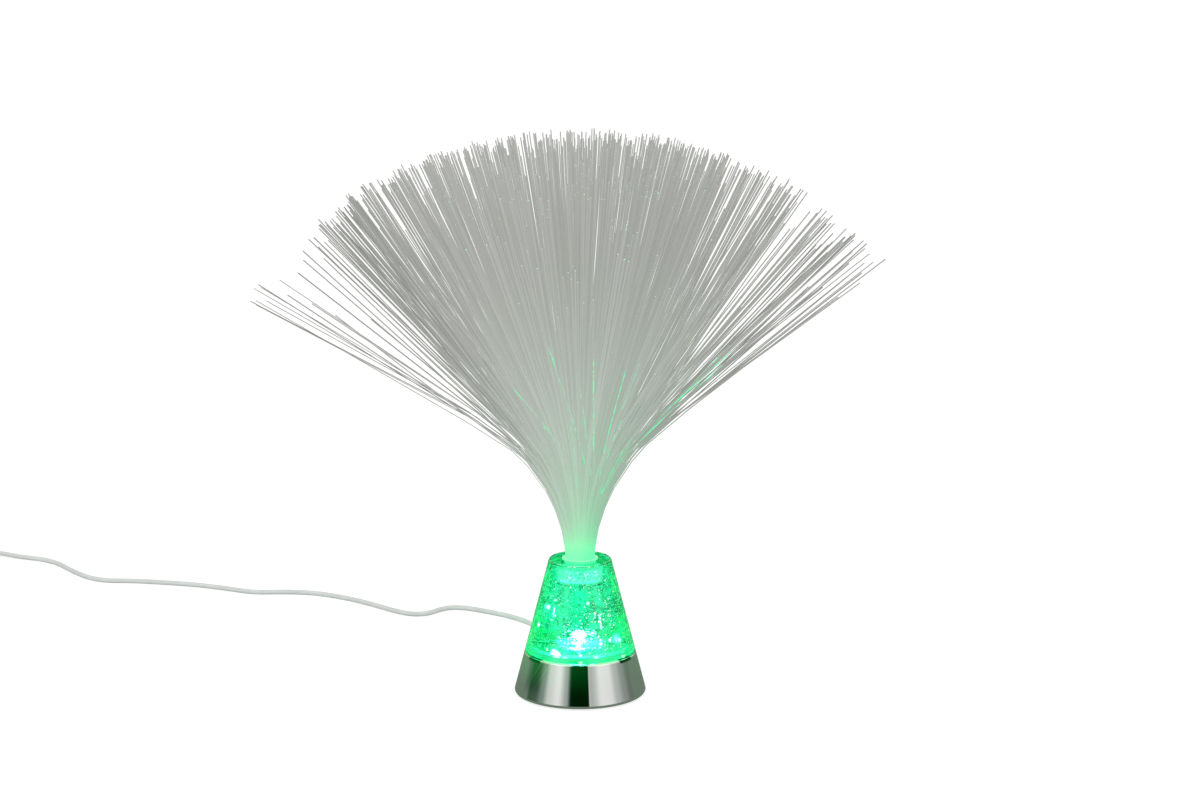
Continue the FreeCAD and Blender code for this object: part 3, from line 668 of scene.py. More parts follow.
# The same in the edge of the floor
FLOOR_GLINTS = (
    ((0.4, -28.6, 26.2), 1.8, 1.0), ((23.6, -16.3, 26.5), 2.4, 1.0),
    ((28.6, -2.1, 26.9), 1.6, 0.9), ((-8.0, -27.0, 27.6), 2.2, 0.6),
    ((9.0, -27.0, 28.0), 2.4, 0.6), ((-13.0, -25.2, 28.2), 3.0, 1.0),
)
# Upright streaks where the light runs up beside the column: azimuth in degrees, and the
# heights in millimetres between which each one shows
STREAKS = (
    (-129.6, 48.5, 57.0), (-61.4, 42.5, 53.0), (-68.5, 49.0, 54.5), (-86.0, 40.5, 45.0),
    (52.0, 40.0, 52.0), (118.0, 36.0, 50.0),
)
# Spots round which the fluid is dark
MURK = (
    ((17.0, -11.0, 50.0), 17.0, 1.0), ((-21.0, -13.0, 34.0), 15.0, 1.0),
    ((13.0, -8.0, 64.0), 10.0, 0.6),
)
# Painted light: the LED's glow in the column's foot, and its painted reflection in the floor:
# heights of the foot and the top, radius and shift to the right, in millimetres
LED_GLOWS = ((31.8, 36.6, 2.8, -0.5), (25.2, 29.6, 3.5, -1.2))


def skin():
    """Clear acrylic: its outer skin bends the light, its inner faces, wet with fluid, don't."""
    finish = clear("vessel_acrylic", 1.45)
    place = finish.point()
    x, y, z, across = finish.around(place)
    side = abs(x)
    uneven = finish.noise(place, 6 * MM, 2.0, scale=(1, 1, 3))
    lid = z > TOP_Z - 0.3 * MM
    outer = (cone_r(z) - across < 1.4 * MM).math("MAXIMUM", lid)
    # the thick lid is a deeper green, with a little painted shade all over and more in thin dark
    # rings
    rings = across.line(16.9 * MM, 0.5 * MM) + across.line(13.9 * MM, 0.5 * MM) * 0.8
    rim = (rings * uneven.ramp(0.3, 0.6, 0.3, 0.75) + 0.12) * lid
    # painted shade also darkens the side just under it, most at the corners, with a thin dark line
    # round its top
    corner = z.ramp(72 * MM, 77 * MM) * side.ramp(8 * MM, 15 * MM)
    corner = corner * uneven.ramp(0.35, 0.6, 0.55, 1.0)
    brow = (z + uneven * 0.6 * MM).line(79.2 * MM, 0.55 * MM)
    # painted shade: a dark line round the bottom of the side
    hem = z.line(25.4 * MM, 0.6 * MM)
    foot = ((z + uneven * 0.5 * MM) * (2 * math.pi / (1.35 * MM))).math("SINE").ramp(0.5, 0.95)
    foot = foot * z.fall(30.5 * MM, 31.5 * MM) * side.ramp(2 * MM, 18 * MM, 0.35, 1.0)
    shade = rim + (corner * 0.4 + brow * 0.8 + hem * 0.5) * (1 - lid)
    # and painted shade where the side is seen edge on
    shade = shade + foot * 0.6 + finish.facing() ** 5.0 * 0.4
    color = finish.blend((0.93, 1.0, 0.97), (0.10, 0.95, 0.62), lid)
    color = finish.blend(color, (0.01, 0.12, 0.06), shade.math("MINIMUM", 1.0))
    # painted glints: bright glitter specks along the front of the rim
    r, _, _, near = finish.cells(place, 0.8 * MM)
    speck = (r > 0.62) * (near < 0.34) * z.line(79.0 * MM, 0.8 * MM) * (y < -8 * MM)
    light = finish.blend(BLACK, (0.95, 0.80, 0.72), speck)
    return finish.feed(base_color=color, alpha=outer).glow(light)


def fluid():
    """Outermost layer of the fluid, with bright and dark glitter too fine to make as flakes."""
    finish = clear("glitter_fluid")
    place = finish.point()
    x, y, z, across = finish.around(place)
    turn = y.math("ARCTAN2", x)
    wall = across > GUIDE_R + 3 * MM
    side = z < LID_UNDER - 0.8 * MM
    r, g, b, near = finish.cells(place, 0.55 * MM)
    # dark flakes take light away, bright ones add it
    dark = (r < murk(finish, place) * 0.30 + 0.03) * (near < 0.42) * side
    color = finish.blend((0.84, 0.98, 0.93), (0.04, 0.42, 0.22), dark)
    light = finish.blend(BLACK, (0.10, 0.8, 0.5), (g > 0.93) * side * 0.6)
    light = finish.blend(light, (1.0, 0.86, 0.66), (b > 0.988) * side * x.ramp(-14 * MM, 12 * MM))
    hot = finish.gather(place, GLINTS)
    for azimuth, low, high in STREAKS:
        beam = turn.line(math.radians(azimuth), 0.045)
        ends = z.ramp(low * MM, (low + 2) * MM) * z.fall((high - 2) * MM, high * MM)
        hot = beam * ends * r.ramp(0.0, 1.0, 0.2, 1.0) + hot
    light = finish.blend(light, (0.10, 0.95, 0.75), hot.ramp(0.05, 0.40))
    light = finish.blend(light, WHITE, hot.ramp(0.35, 0.65))
    # the socket shines through as a paler band with a bright lower edge
    band = (1 - wall) * z.ramp(67.0 * MM, 67.4 * MM) * z.fall(73.6 * MM, 75.6 * MM)
    band = band * finish.facing().fall(0.32, 0.48)
    painted_highlight_edge = z.fall(67.9 * MM, 68.4 * MM)
    shine = finish.blend((0.62, 0.50, 0.42), (0.90, 0.90, 0.90), painted_highlight_edge)
    light = finish.blend(finish.blend(BLACK, light, wall), shine, band)
    return finish.feed(base_color=finish.blend(WHITE, color, wall)).glow(light, 1.1)


def murk(finish, place):
    return finish.gather(place, MURK).math("MINIMUM", 1.0)


def core(tint):
    """Depth of the fluid: what is seen through it is seen through its colour."""
    low, high, inner = FLOOR_TOP + 0.2 * MM, LID_UNDER - 0.4 * MM, CUP_R + 0.4 * MM
    outline = [
        (inner, low), (cone_r(low) - CORE_INSET, low), (cone_r(high) - CORE_INSET, high),
        (inner, high),
    ]
    bm = bmesh.new()
    verts = [bm.verts.new((r, 0, z)) for r, z in outline]
    edges = [bm.edges.new((verts[i - 1], v)) for i, v in enumerate(verts)]
    bmesh.ops.spin(
        bm, geom=verts + edges, cent=(0, 0, 0), axis=(0, 0, 1), angle=2 * math.pi, steps=72,
        use_merge=True,
    )
    bmesh.ops.remove_doubles(bm, verts=bm.verts, dist=0.001 * MM)
    bmesh.ops.recalc_face_normals(bm, faces=bm.faces)
    finish = clear("fluid_depth")
    place = finish.point()
    _, _, z, across = finish.around(place)
    # only the outer side and the top have the colour, so a line of sight meets it once
    outward = across + z * TAPER > FOOT_R - CORE_INSET - 1 * MM
    outward = outward.math("MAXIMUM", z > high - 0.2 * MM)
    swirl = finish.noise(place, 3.2 * MM, scale=(1, 1, 0.35)).ramp(0.36, 0.64)
    depth = swirl - murk(finish, place) * 1.1
    color = finish.blend(lighter(tint, 0.62), lighter(tint, 1.06), depth)
    light = finish.blend((0.0, 0.05, 0.02), (0.006, 0.24, 0.10), depth)
    finish.feed(base_color=finish.blend(WHITE, color, outward))
    finish.glow(finish.blend(BLACK, light, outward))
    new_piece("fluid_core", bm, [finish], "base")


def floor_disc():
    """Thick clear floor, lit from below, with rings of light near its edge."""
    finish = clear("floor_acrylic")
    place = finish.point()
    _, _, z, across = finish.around(place)
    color = finish.blend((0.97, 1.0, 1.0), (0.09, 0.90, 0.52), across.ramp(12 * MM, 16 * MM))
    rings = ((z + across * 0.3) * 4200.0).math("SINE").ramp(0.0, 0.9) * (across > 20 * MM)
    patch = finish.noise(place, 4 * MM, 2.0).ramp(0.42, 0.62)
    light = finish.blend((0.0, 0.16, 0.06), (0.03, 0.62, 0.34), rings * patch)
    light = finish.blend(light, (0.6, 1.0, 0.93), finish.glint(place, (0, 0, 28), 13.0) * 0.8)
    hot = finish.gather(place, FLOOR_GLINTS).math("MINIMUM", 1.0)
    return finish.feed(base_color=color).glow(finish.blend(light, (0.9, 1.0, 0.98), hot))


def guide():
    """Clear column, lit from its foot."""
    finish = clear("guide_acrylic")
    place = finish.point()
    z = finish.parts(place)[2]
    wisps = finish.noise(place, 1.6 * MM, 2.0, scale=(1, 1, 0.12)).ramp(0.48, 0.72)
    foot = z.ramp(28 * MM, 38 * MM, 0.35, 0.0)
    share = foot * wisps + foot * 0.4 + wisps * 0.03
    return finish.feed(base_color=(0.93, 1.0, 0.98)).glow(
        finish.blend(BLACK, (0.25, 1.0, 0.80), share)
    )


def lens():
    """Painted light: the LED's glow in the foot of the column, and its painted reflection in the
    floor under it.
    """
    bm = bmesh.new()
    for low, high, radius, shift in LED_GLOWS:
        size = (radius * MM, radius * MM, (high - low) / 2 * MM)
        lay = set_at((shift * MM, 0, (low + high) / 2 * MM), size)
        bmesh.ops.create_uvsphere(bm, u_segments=24, v_segments=14, radius=1.0, matrix=lay)
    finish = moulded("led_glow_light", (0.8, 1.0, 0.9), 0.2)
    grain = finish.noise(finish.point(), 1.2 * MM, 2.0).ramp(0.35, 0.6)
    finish.glow(finish.blend((0.35, 1.0, 0.93), WHITE, grain), 30.0)
    new_piece("painted_led_glow", bm, [finish], "base", smooth=True)


class LAMP_OT_vessel(bpy.types.Operator):
    """Finishes the clear vessel and what stands in it"""

    bl_idname = "lamp.vessel"
    bl_label = "Vessel"

    def execute(self, context):
        wear(skin(), "vessel")
        wear(fluid(), "glitter_fluid")
        wear(floor_disc(), "vessel_floor")
        wear(guide(), "light_guide")
        for node, name, color, roughness, light, strength in LIT_PARTS:
            wear(moulded(name, color, roughness).glow(light, strength), node)
        core(tuple(context.scene.lamp_vessel.tint))
        lens()
        return {"FINISHED"}


# Sparks over the light: place and spread in millimetres, number, tone
SPARKS = (
    ((-0.3, 0.0, 34.2), (2.7, 2.7, 1.7), 90, (0.6, 1.0)),
    ((-1.2, 0.0, 27.4), (3.0, 3.0, 1.5), 190, (0.8, 1.0)),
    ((-0.6, 0.0, 31.0), (2.4, 2.4, 1.4), 60, (0.5, 1.0)),
    ((-1.0, 0.0, 31.0), (4.6, 4.6, 3.4), 120, (0.2, 0.8)),
    ((5.4, 0.0, 33.2), (0.8, 0.8, 2.0), 24, (0.3, 1.0)),
)
GLITTER_SEED = 11
FLAKE_T = 0.06 * MM
NEAR_WALL = 0.62           # share of the flakes that drift near the wall
# The dark cloud: its middle, its radius and the tones of its flakes
CLOUD = (0.018, -0.012, 0.051)
CLOUD_R = 0.019
CLOUD_TONES = (0.02, 0.05, 0.04, 0.2, 0.06, 0.3, 0.15, 0.5, 0.98, 0.995)
# Painted shade: flakes at the sides, and over a height but for a few at the front, take darker tones
SHADE_SIDE = 0.8
SHADE_Z = 69.5 * MM
SHADE_FRONT = -11 * MM
SHADE_TONE = 0.82
# Tone of a flake from which each colour starts: dark, green, cyan, gold and pink
TONES = (
    (0.0, (0.01, 0.16, 0.06)), (0.08, (0.0, 0.24, 0.11)), (0.34, (0.0, 0.36, 0.17)),
    (0.64, (0.01, 0.50, 0.25)), (0.80, (0.05, 0.70, 0.42)), (0.95, (0.75, 1.0, 0.94)),
    (0.972, (1.0, 0.88, 0.68)), (0.988, (1.0, 0.78, 0.74)),
)


def sparks(flake, draw):
    """Flakes that catch the full light."""
    bm = bmesh.new()
    shade = bm.verts.layers.float.new("shade")
    for center, spread, count, (low, high) in SPARKS:
        for _ in range(count):
            place = Vector([draw.gauss(c, d) * MM for c, d in zip(center, spread)])
            if place.xy.length < GUIDE_R - 0.6 * MM and place.z > BASE_H + 0.5 * MM:
                add_flake(bm, flake, shade, place, draw.uniform(low, high), draw)
    finish = Finish("spark_foil", metallic=0.3, roughness=0.3)
    color = finish.blend((0.05, 0.40, 0.34), (1.0, 0.97, 0.93), finish.attribute("shade"))
    finish.feed(base_color=color).glow(color, 14.0)
    new_piece("glitter_sparks", bm, [finish], "base")


def flake_template(width):
    """Thin hexagonal flake."""
    bm = bmesh.new()
    bmesh.ops.create_cone(
        bm, cap_ends=True, segments=6, radius1=width / 2, radius2=width / 2, depth=FLAKE_T
    )
    return bm


def add_flake(bm, flake, shade, place, tone, draw):
    angle = draw.uniform(0, math.pi)
    axis = Vector([draw.gauss(0, 1) for _ in range(3)]).normalized()
    turn = Matrix.Rotation(angle, 3, axis)
    size = draw.uniform(0.55, 1.15) * (1.25 if tone > 0.95 else 1.0)
    stamp(bm, flake, lambda corner: (place + turn @ (corner * size), [(shade, tone)]))


def foil():
    """Foil whose colour differs by flake; each flake also gives off its colour as painted light."""
    finish = Finish("glitter_foil", metallic=0.6, roughness=0.25)
    color = finish.ramp_color(finish.attribute("shade"), TONES, smooth=False)
    grain = finish.noise(finish.point(), 0.3 * MM, 2.0)
    return finish.feed(base_color=finish.blend(color, WHITE, grain * 0.15)).glow(color, 1.4)


class LAMP_OT_glitter(bpy.types.Operator):
    """Scatters glitter flakes through the fluid"""

    bl_idname = "lamp.glitter"
    bl_label = "Glitter"

    def execute(self, context):
        settings = context.scene.lamp_glitter
        draw = random.Random(GLITTER_SEED)
        flake = flake_template(settings.size)
        bm = bmesh.new()
        shade = bm.verts.layers.float.new("shade")
        made = 0
        while made < settings.flakes:
            z = draw.uniform(FLOOR_TOP + 0.6 * MM, LID_UNDER - 0.6 * MM)
            outer = cone_r(z) - WALL - 0.5 * MM
            inner = (CUP_R if z > CUP_UNDER - 1 * MM else GUIDE_R) + 0.9 * MM
            if outer <= inner:
                continue
            middle = max(inner, cone_r(z) - CORE_INSET + 0.4 * MM)
            near_wall = draw.random() < NEAR_WALL
            reach = draw.uniform(middle, outer) if near_wall else draw.uniform(inner, middle)
            turn = draw.uniform(0, 2 * math.pi)
            place = toward(turn) * reach + Vector((0, 0, z))
            tone = draw.random()
            if draw.random() < max(0.0, 1 - (place - Vector(CLOUD)).length / CLOUD_R):
                tone = draw.choice(CLOUD_TONES)
            # painted shade: darker tones at the sides and high up away from the front
            if abs(math.cos(turn)) > SHADE_SIDE or z > SHADE_Z and place.y > SHADE_FRONT:
                tone *= SHADE_TONE
            add_flake(bm, flake, shade, place, tone, draw)
            made += 1
        new_piece("glitter_flakes", bm, [foil()], "base")
        sparks(flake, draw)
        flake.free()
        return {"FINISHED"}


# ---------------------------------------------------------------- spray


TUFTS = 6
SPRAY_SEED = 2200
ROOT_Z = 72.0 * MM
ROOT_R = 8.0 * MM
BEND = 101.4 * MM          # length over which a fibre bends, from its root
EASE = 1.204               # how much sooner than evenly it bends
WING_EASE = 1.5
PATH_STEPS = 40
STATIONS = (0.0, 0.045, 0.09, 0.14, 0.195, 0.255, 0.325, 0.427, 0.7, 1.0)
SIDES = 5
CLUMPS = 137
GATHER = 0.712             # how far a fibre is drawn to the middle of its clump
SCATTER = 0.0556
CORE = 0.889               # share of the bundle's radius that stays in the dense core
SWAY = math.radians(2.54)  # how much more the core leans to the left than to the middle
OVER = 1.03                # share of the bundle's radius that the widest fibres at the left reach
# Sideways lean in degrees from which and to which strands stand apart, and how much darker the
# last ones are, as painted shade
APART = (28, 44, 0.42)
DRIFT_FROM = 0.4           # share of a fibre's length from which it drifts
# The few fibres that stand out at the sides: lean, direction in degrees from the right, and
# share of the diameter
STRAY = (
    (61.3, 181, 0.64), (60.3, 176, 0.64), (60.8, 186, 0.7), (59.0, 190, 0.7), (60.0, 171, 0.64),
    (58.6, 183, 0.7), (57.8, 178, 0.8), (58.4, 166, 0.64), (51.0, -3, 0.85), (51.8, 4, 0.85),
    (50.2, -10, 0.9), (52.4, -26, 0.9), (53.2, -33, 0.85), (50.6, 11, 0.9), (49.4, 2, 0.9),
)
# Fuller places beside the core: lean from and to, direction in degrees from the right, half
# its spread, number of clumps and of fibres in each
WINGS = (
    (30.0, 33.0, 0, 36, 10, 4), (33.5, 39.0, 180, 34, 9, 4), (30.5, 34.0, 180, 30, 5, 4),
    (36.5, 38.5, 0, 20, 1, 3),
)
# Strands that leak light: place of the root and direction in degrees from the right, lean,
# heights in millimetres between which the strand glows, and strength
LIT_STRANDS = (
    (0, 44, 255, 120, 220, 1.0), (0, 50, 270, 150, 218, 1.0), (4, 46, 264, 130, 200, 0.6),
    (0, 42, 284, 120, 204, 1.0), (336, 48, 285, 180, 214, 0.7), (288, 46, 350, 120, 206, 1.0),
    (0, 48, 234, 148, 192, 0.7), (296, 47, 345, 120, 198, 1.0), (304, 45, 340, 124, 190, 1.0),
    (352, 44, 290, 118, 170, 0.7), (270, 40, 262, 124, 168, 0.5), (312, 42, 325, 116, 160, 0.8),
    (284, 45, 354, 130, 200, 0.8),
)
# Colour of a fibre by its tone: what it reflects, what shines through it, and its cut end
GREYS = ((0.0, (0.10, 0.108, 0.10)), (0.5, (0.15, 0.154, 0.145)), (1.0, (0.195, 0.194, 0.19)))
HAZES = (
    (0.0, (0.12, 0.124, 0.115)), (0.45, (0.21, 0.214, 0.20)), (0.58, (0.264, 0.268, 0.252)),
    (1.0, (0.300, 0.302, 0.289)),
)
TIPS = ((0.0, (0.10, 0.30, 0.18)), (0.90, (0.05, 0.52, 0.26)), (0.97, (0.08, 1.0, 0.48)))


def wedge(turn):
    """Number of the tuft that a direction belongs to."""
    return int(math.degrees(turn) % 360 * TUFTS / 360) % TUFTS


def fiber_template():
    """Straight fibre of radius 1 whose rings lie at heights 0, 1, 2 and so on."""
    bm = bmesh.new()
    bmesh.ops.create_circle(bm, cap_ends=False, segments=SIDES, radius=1.0)
    edges = list(bm.edges)
    bmesh.ops.contextual_create(bm, geom=edges)
    for _ in STATIONS[1:]:
        made = bmesh.ops.extrude_edge_only(bm, edges=edges)["geom"]
        edges = [e for e in made if isinstance(e, bmesh.types.BMEdge)]
        ring = [v for v in made if isinstance(v, bmesh.types.BMVert)]
        bmesh.ops.translate(bm, verts=ring, vec=(0, 0, 1))
    cap = bmesh.ops.contextual_create(bm, geom=edges)["faces"]
    bmesh.ops.recalc_face_normals(bm, faces=bm.faces)
    for face in cap:
        face.material_index = 1
    return bm


def fiber_places(settings, draw):
    """Root, lean, direction, ease and width of each fibre. Neighbours cling together in clumps."""
    golden = math.pi * (3 - math.sqrt(5))
    hubs = []
    for i in range(CLUMPS):
        hub = toward(i * golden) * math.sqrt((i + 0.5) / CLUMPS)
        hubs.append(hub + Vector((draw.uniform(-1, 1), draw.uniform(-1, 1), 0)) * 0.05)
    for i in range(settings.fibers):
        spot = toward(i * golden) * math.sqrt((i + 0.5) / settings.fibers)
        loose = spot + Vector((draw.gauss(0, 1), draw.gauss(0, 1), 0)) * SCATTER
        hub = min(hubs, key=lambda h: (h - loose).length_squared)
        aim = loose.lerp(hub, GATHER * draw.uniform(0.4, 1.0))
        reach = min(aim.length, OVER if aim.x < -0.6 else 1.0)
        turn = math.atan2(aim.y, aim.x)
        core_lean = settings.core_lean - SWAY * math.cos(turn)
        if reach < CORE:
            lean = core_lean * (reach / CORE) ** 0.884
        else:
            outer = (reach - CORE) / (1 - CORE)
            lean = core_lean + (settings.lean - core_lean) * outer ** 0.826
        yield spot * ROOT_R, lean, turn, EASE, 1.0
    for low, high, middle, spread, clumps, each in WINGS:
        for _ in range(clumps):
            hub = draw.uniform(low, high), middle + draw.uniform(-spread, spread)
            for _ in range(each):
                angle = math.radians(hub[1] + draw.gauss(0, 1.2))
                spot = toward(angle) * ROOT_R * draw.uniform(0.8, 1.0)
                lean = math.radians(hub[0] + draw.gauss(0, 0.6))
                yield spot, lean, angle, WING_EASE, 1.0
    for lean, turn, width in STRAY:
        angle = math.radians(turn)
        yield toward(angle) * ROOT_R, math.radians(lean), angle, 1.0, width


def fiber_path(settings, start, lean, turn, ease, whim):
    """Points and headings along one fibre at its stations. whim says how it differs from the
    rule: shares of its length and bend, and degrees that it drifts outwards and sideways."""
    length = settings.length * whim[0]
    bend = BEND * whim[1]
    side = toward(turn)
    drift = math.radians(whim[2])
    across = Vector((-side.y, side.x, 0)) * math.radians(whim[3])
    place = Vector((start.x, start.y, ROOT_Z))
    points = []
    for k in range(PATH_STEPS + 1):
        share = k / PATH_STEPS
        bent = 1 - max(0.0, 1 - share * length / bend) ** ease
        angle = lean * bent + drift * max(0.0, share - DRIFT_FROM)
        heading = side * math.sin(angle) + Vector((0, 0, math.cos(angle))) + across * share
        heading.normalize()
        while len(points) < len(STATIONS) and STATIONS[len(points)] <= share + 1e-6:
            points.append((place.copy(), heading.copy()))
        place = place + heading * (length / PATH_STEPS)
    return points


def add_fiber(tuft, template, path, diameter, tones, lit):
    """Bends a copy of the template along a path; its tone falls where it leaves the bundle, which
    paints shade on strands that stand apart.
    """
    bm, tone_layer, lit_layer = tuft
    rings = []
    u = path[0][1].orthogonal()
    for (place, heading), station in zip(path, STATIONS):
        u = (u - heading * u.dot(heading)).normalized()
        radius = diameter / 2 * min(1.0, 0.6 + 1.6 * station)
        tone = tones[0] - tones[1] * min(1.0, max(0.0, (station - 0.14) / 0.3))
        marks = [(tone_layer, tone), (lit_layer, lit)]
        rings.append((place, u * radius, heading.cross(u) * radius, marks))

    def shape(corner):
        place, u, w, marks = rings[round(corner.z)]
        return place + u * corner.x + w * corner.y, marks

    stamp(bm, template, shape)


def plastic():
    """Clear fibre: reads as pale grey, and glows green where the light leaks near its root."""
    finish = Finish("fiber_plastic", roughness=0.42, specular_ior_level=0.25)
    place = finish.point()
    x, _, z = finish.parts(place)
    tone = finish.attribute("tone")
    # how far to the right of the axis a place lies, as a share of its height over the root
    aside = x / (z - 66 * MM).math("MAXIMUM", 10 * MM)
    middle = (aside - 0.08) / 0.43
    middle = (middle * middle * -1 * z.ramp(86 * MM, 104 * MM, 0.1, 1.0)).math("EXPONENT")
    level = z.decay(84 * MM, 11 * MM) * 0.58 + z.decay(84 * MM, 50 * MM) * 0.42
    level = (level * middle).math("MINIMUM", 1.0)
    haze = finish.ramp_color(tone, HAZES)
    # painted light: the haze is brighter lower down in the spray
    haze = finish.blend(haze, (1.5, 1.5, 1.5), z.ramp(140 * MM, 290 * MM, 0.62, 0.0), "MULTIPLY")
    # the right side of the spray is darker than the left
    fall = (z.decay(108 * MM, 45 * MM) * 0.28 + 0.08).math("MINIMUM", 0.42)
    shade = aside.ramp(-0.12, 0.42) * fall + aside.ramp(-0.5, -0.25, 0.1, 0.0)
    glow = finish.blend(haze, (0.235, 1.0, 0.44), level)
    glow = finish.blend(glow, finish.blend(BLACK, (0.06, 0.85, 0.38), level), shade)
    low, high, strength = finish.parts(finish.attribute("lit", "Vector"))
    spots = finish.noise(place, 5 * MM, 1.0).ramp(0.45, 0.62, 0.3, 1.0)
    lit = (z > low) * (z < high) * spots * strength
    # near the root, where the painted glow is strongest, the base colour turns a darker green
    grey = finish.blend(finish.ramp_color(tone, GREYS), (0.03, 0.19, 0.10), level)
    return finish.feed(base_color=grey).glow(finish.blend(glow, (0.07, 0.84, 0.36), lit))


def polished_tip():
    """Cut end of a fibre: most are faint, a few are bright points."""
    finish = Finish("fiber_tip", roughness=0.3, base_color=(0.5, 0.62, 0.55))
    return finish.glow(finish.ramp_color(finish.attribute("tone"), TIPS, smooth=False), 0.9)


def sleeve():
    """Ferrule, lit through by the column under it, and the bonded root of the bundle."""
    finish = moulded("ferrule_clear", (0.10, 0.30, 0.18), 0.22)
    place = finish.point()
    z = finish.parts(place)[2]
    shimmer = finish.noise(place, 1.8 * MM, 2.0).ramp(0.35, 0.65)
    light = finish.blend((0.36, 1.0, 0.66), (0.16, 0.88, 0.54), shimmer)
    light = finish.blend(light, (0.03, 0.80, 0.36), z.ramp(75.0 * MM, 76.5 * MM))
    light = finish.blend(light, (0.22, 0.92, 0.40), z.ramp(78.2 * MM, 79.6 * MM))
    wear(finish.glow(light), "ferrule")
    # the bonded root glows green too: painted light from the column
    root = moulded("bonded_fiber", (0.5, 0.9, 0.65), 0.3)
    wear(root.glow((0.10, 1.0, 0.45), 0.9), "bonded_root")


class LAMP_OT_spray(bpy.types.Operator):
    """Makes the fibres and finishes the sleeve that holds them"""

    bl_idname = "lamp.spray"
    bl_label = "Spray"

    def execute(self, context):
        settings = context.scene.lamp_spray
        draw = random.Random(SPRAY_SEED)
        fiber, tip = plastic(), polished_tip()
        template = fiber_template()
        tufts = []
        for _ in range(TUFTS):
            bm = bmesh.new()
            layers = bm.verts.layers
            tufts.append((bm, layers.float.new("tone"), layers.float_vector.new("lit")))
        unlit = Vector((0, 0, 0))
        for start, lean, turn, ease, width in fiber_places(settings, draw):
            whim = (
                draw.uniform(0.978, 1.006), draw.uniform(0.9, 1.12), draw.gauss(0, 1.2),
                draw.gauss(0, 1.5),
            )
            path = fiber_path(settings, start, lean, turn, ease, whim)
            # painted shade: single strands at the sides look darker than the crowded middle
            near, far, darker = APART
            alone = (math.degrees(lean) * abs(math.cos(turn)) - near) / (far - near)
            tones = (0.55 + 0.45 * draw.random(), darker * min(1.0, max(0.0, alone)))
            tuft = tufts[wedge(turn)]
            add_fiber(tuft, template, path, settings.diameter * width, tones, unlit)
        for root, lean, turn, low, high, strength in LIT_STRANDS:
            root, lean, turn = (math.radians(angle) for angle in (root, lean, turn))
            path = fiber_path(settings, toward(root) * ROOT_R, lean, turn, EASE, (1.0, 1.0, 0, 0))
            lit = Vector((low * MM, high * MM, strength))
            tuft = tufts[wedge(turn)]
            add_fiber(tuft, template, path, settings.diameter, (0.8, 0.0), lit)
        template.free()
        for i, (bm, _, _) in enumerate(tufts, 1):
            replaced = ["fiber_tuft_%d" % i]
            new_piece("spray_%d" % i, bm, [fiber, tip], "spray", replaced, True)
        sleeve()
        return {"FINISHED"}


# ---------------------------------------------------------------- cord


PLUG_SHELL = (0.66, 0.65, 0.63)
PLUG_TONGUE = (0.8, 0.8, 0.78)
RIB_PITCH = 1.9 * MM
RIB_T = 0.9 * MM
BARS = 6
FIRST_BAR = 13 * MM
# In millimetres: width, height, distance from the plug's axis, and height over the table
BAR_SIZES = ((10.4, 0.9, 0.0, 7.35), (0.9, 3.4, 7.35, 3.75), (0.9, 3.4, -7.35, 3.75))
# The same: distance from the cord's end, and radius
RINGS = ((1.8, 2.6), (3.7, 2.9), (5.6, 3.2))


def plug(color, end, heading):
    """Finishes of the plug, whose details lie along and across the cord's heading."""
    grip = moulded("plug_pvc", color, 0.42, 0.5 * MM, 0.01 * MM)
    wear(grip, "plug_relief", "usb_plug_body")
    ribs(grip, end, heading)
    shell = metal("plug_metal", PLUG_SHELL, 0.22)
    gone, aside, z = along(shell, end, heading)
    # painted shade: the two square holes on each flat side are dark squares in the colour
    flat = (z > 5.8 * MM).math("MAXIMUM", z < 1.7 * MM)
    hole = (abs(abs(aside) - 2.6 * MM) < 1.2 * MM) * (abs(gone - 36.5 * MM) < 1.0 * MM) * flat
    wear(shell.feed(base_color=shell.blend(PLUG_SHELL, (0.01,) * 3, hole)), "usb_shell")
    tongue = moulded("tongue_white", PLUG_TONGUE, 0.4)
    _, aside, z = along(tongue, end, heading)
    # four contacts on its underside
    inner = abs(abs(aside) - 1.0 * MM) < 0.55 * MM
    contact = inner.math("MAXIMUM", abs(abs(aside) - 3.5 * MM) < 0.55 * MM) * (z < 4.0 * MM)
    gold = tongue.blend(PLUG_TONGUE, (0.85, 0.62, 0.25), contact)
    wear(tongue.feed(base_color=gold, metallic=contact), "usb_tongue")


def ribs(finish, end, heading):
    """Raised bars on the top and the sides of the plug's grip, and rings round its relief."""
    bm = bmesh.new()
    for i in range(BARS):
        for width, height, aside, middle in BAR_SIZES:
            place = (aside * MM, FIRST_BAR + i * RIB_PITCH, middle * MM)
            lay = set_at(place, (width * MM, RIB_T, height * MM))
            bmesh.ops.create_cube(bm, size=1.0, matrix=lay)
    bmesh.ops.bevel(
        bm, geom=list(bm.edges), offset=0.2 * MM, offset_type="OFFSET", segments=2,
        profile=0.5, affect="EDGES", material=-1,
    )
    upright = Matrix.Rotation(math.pi / 2, 3, "X")
    for gone, radius in RINGS:
        bmesh.ops.create_cone(
            bm, cap_ends=True, segments=32, radius1=radius * MM, radius2=radius * MM,
            depth=RIB_T, matrix=set_at((0, gone * MM, end.z), turn=upright),
        )
    turn = Matrix.Rotation(math.atan2(-heading.x, heading.y), 3, "Z")
    lay = set_at((end.x, end.y, 0), turn=turn)
    bmesh.ops.transform(bm, matrix=lay, verts=bm.verts)
    bmesh.ops.recalc_face_normals(bm, faces=bm.faces)
    new_piece("plug_ribs", bm, [finish], "base")


def along(finish, end, heading):
    """Distances from the cord's end along its heading and across it, and the height."""
    x, y, z = finish.parts(finish.point())
    gone = (x - end.x) * heading.x + (y - end.y) * heading.y
    aside = (y - end.y) * heading.x - (x - end.x) * heading.y
    return gone, aside, z


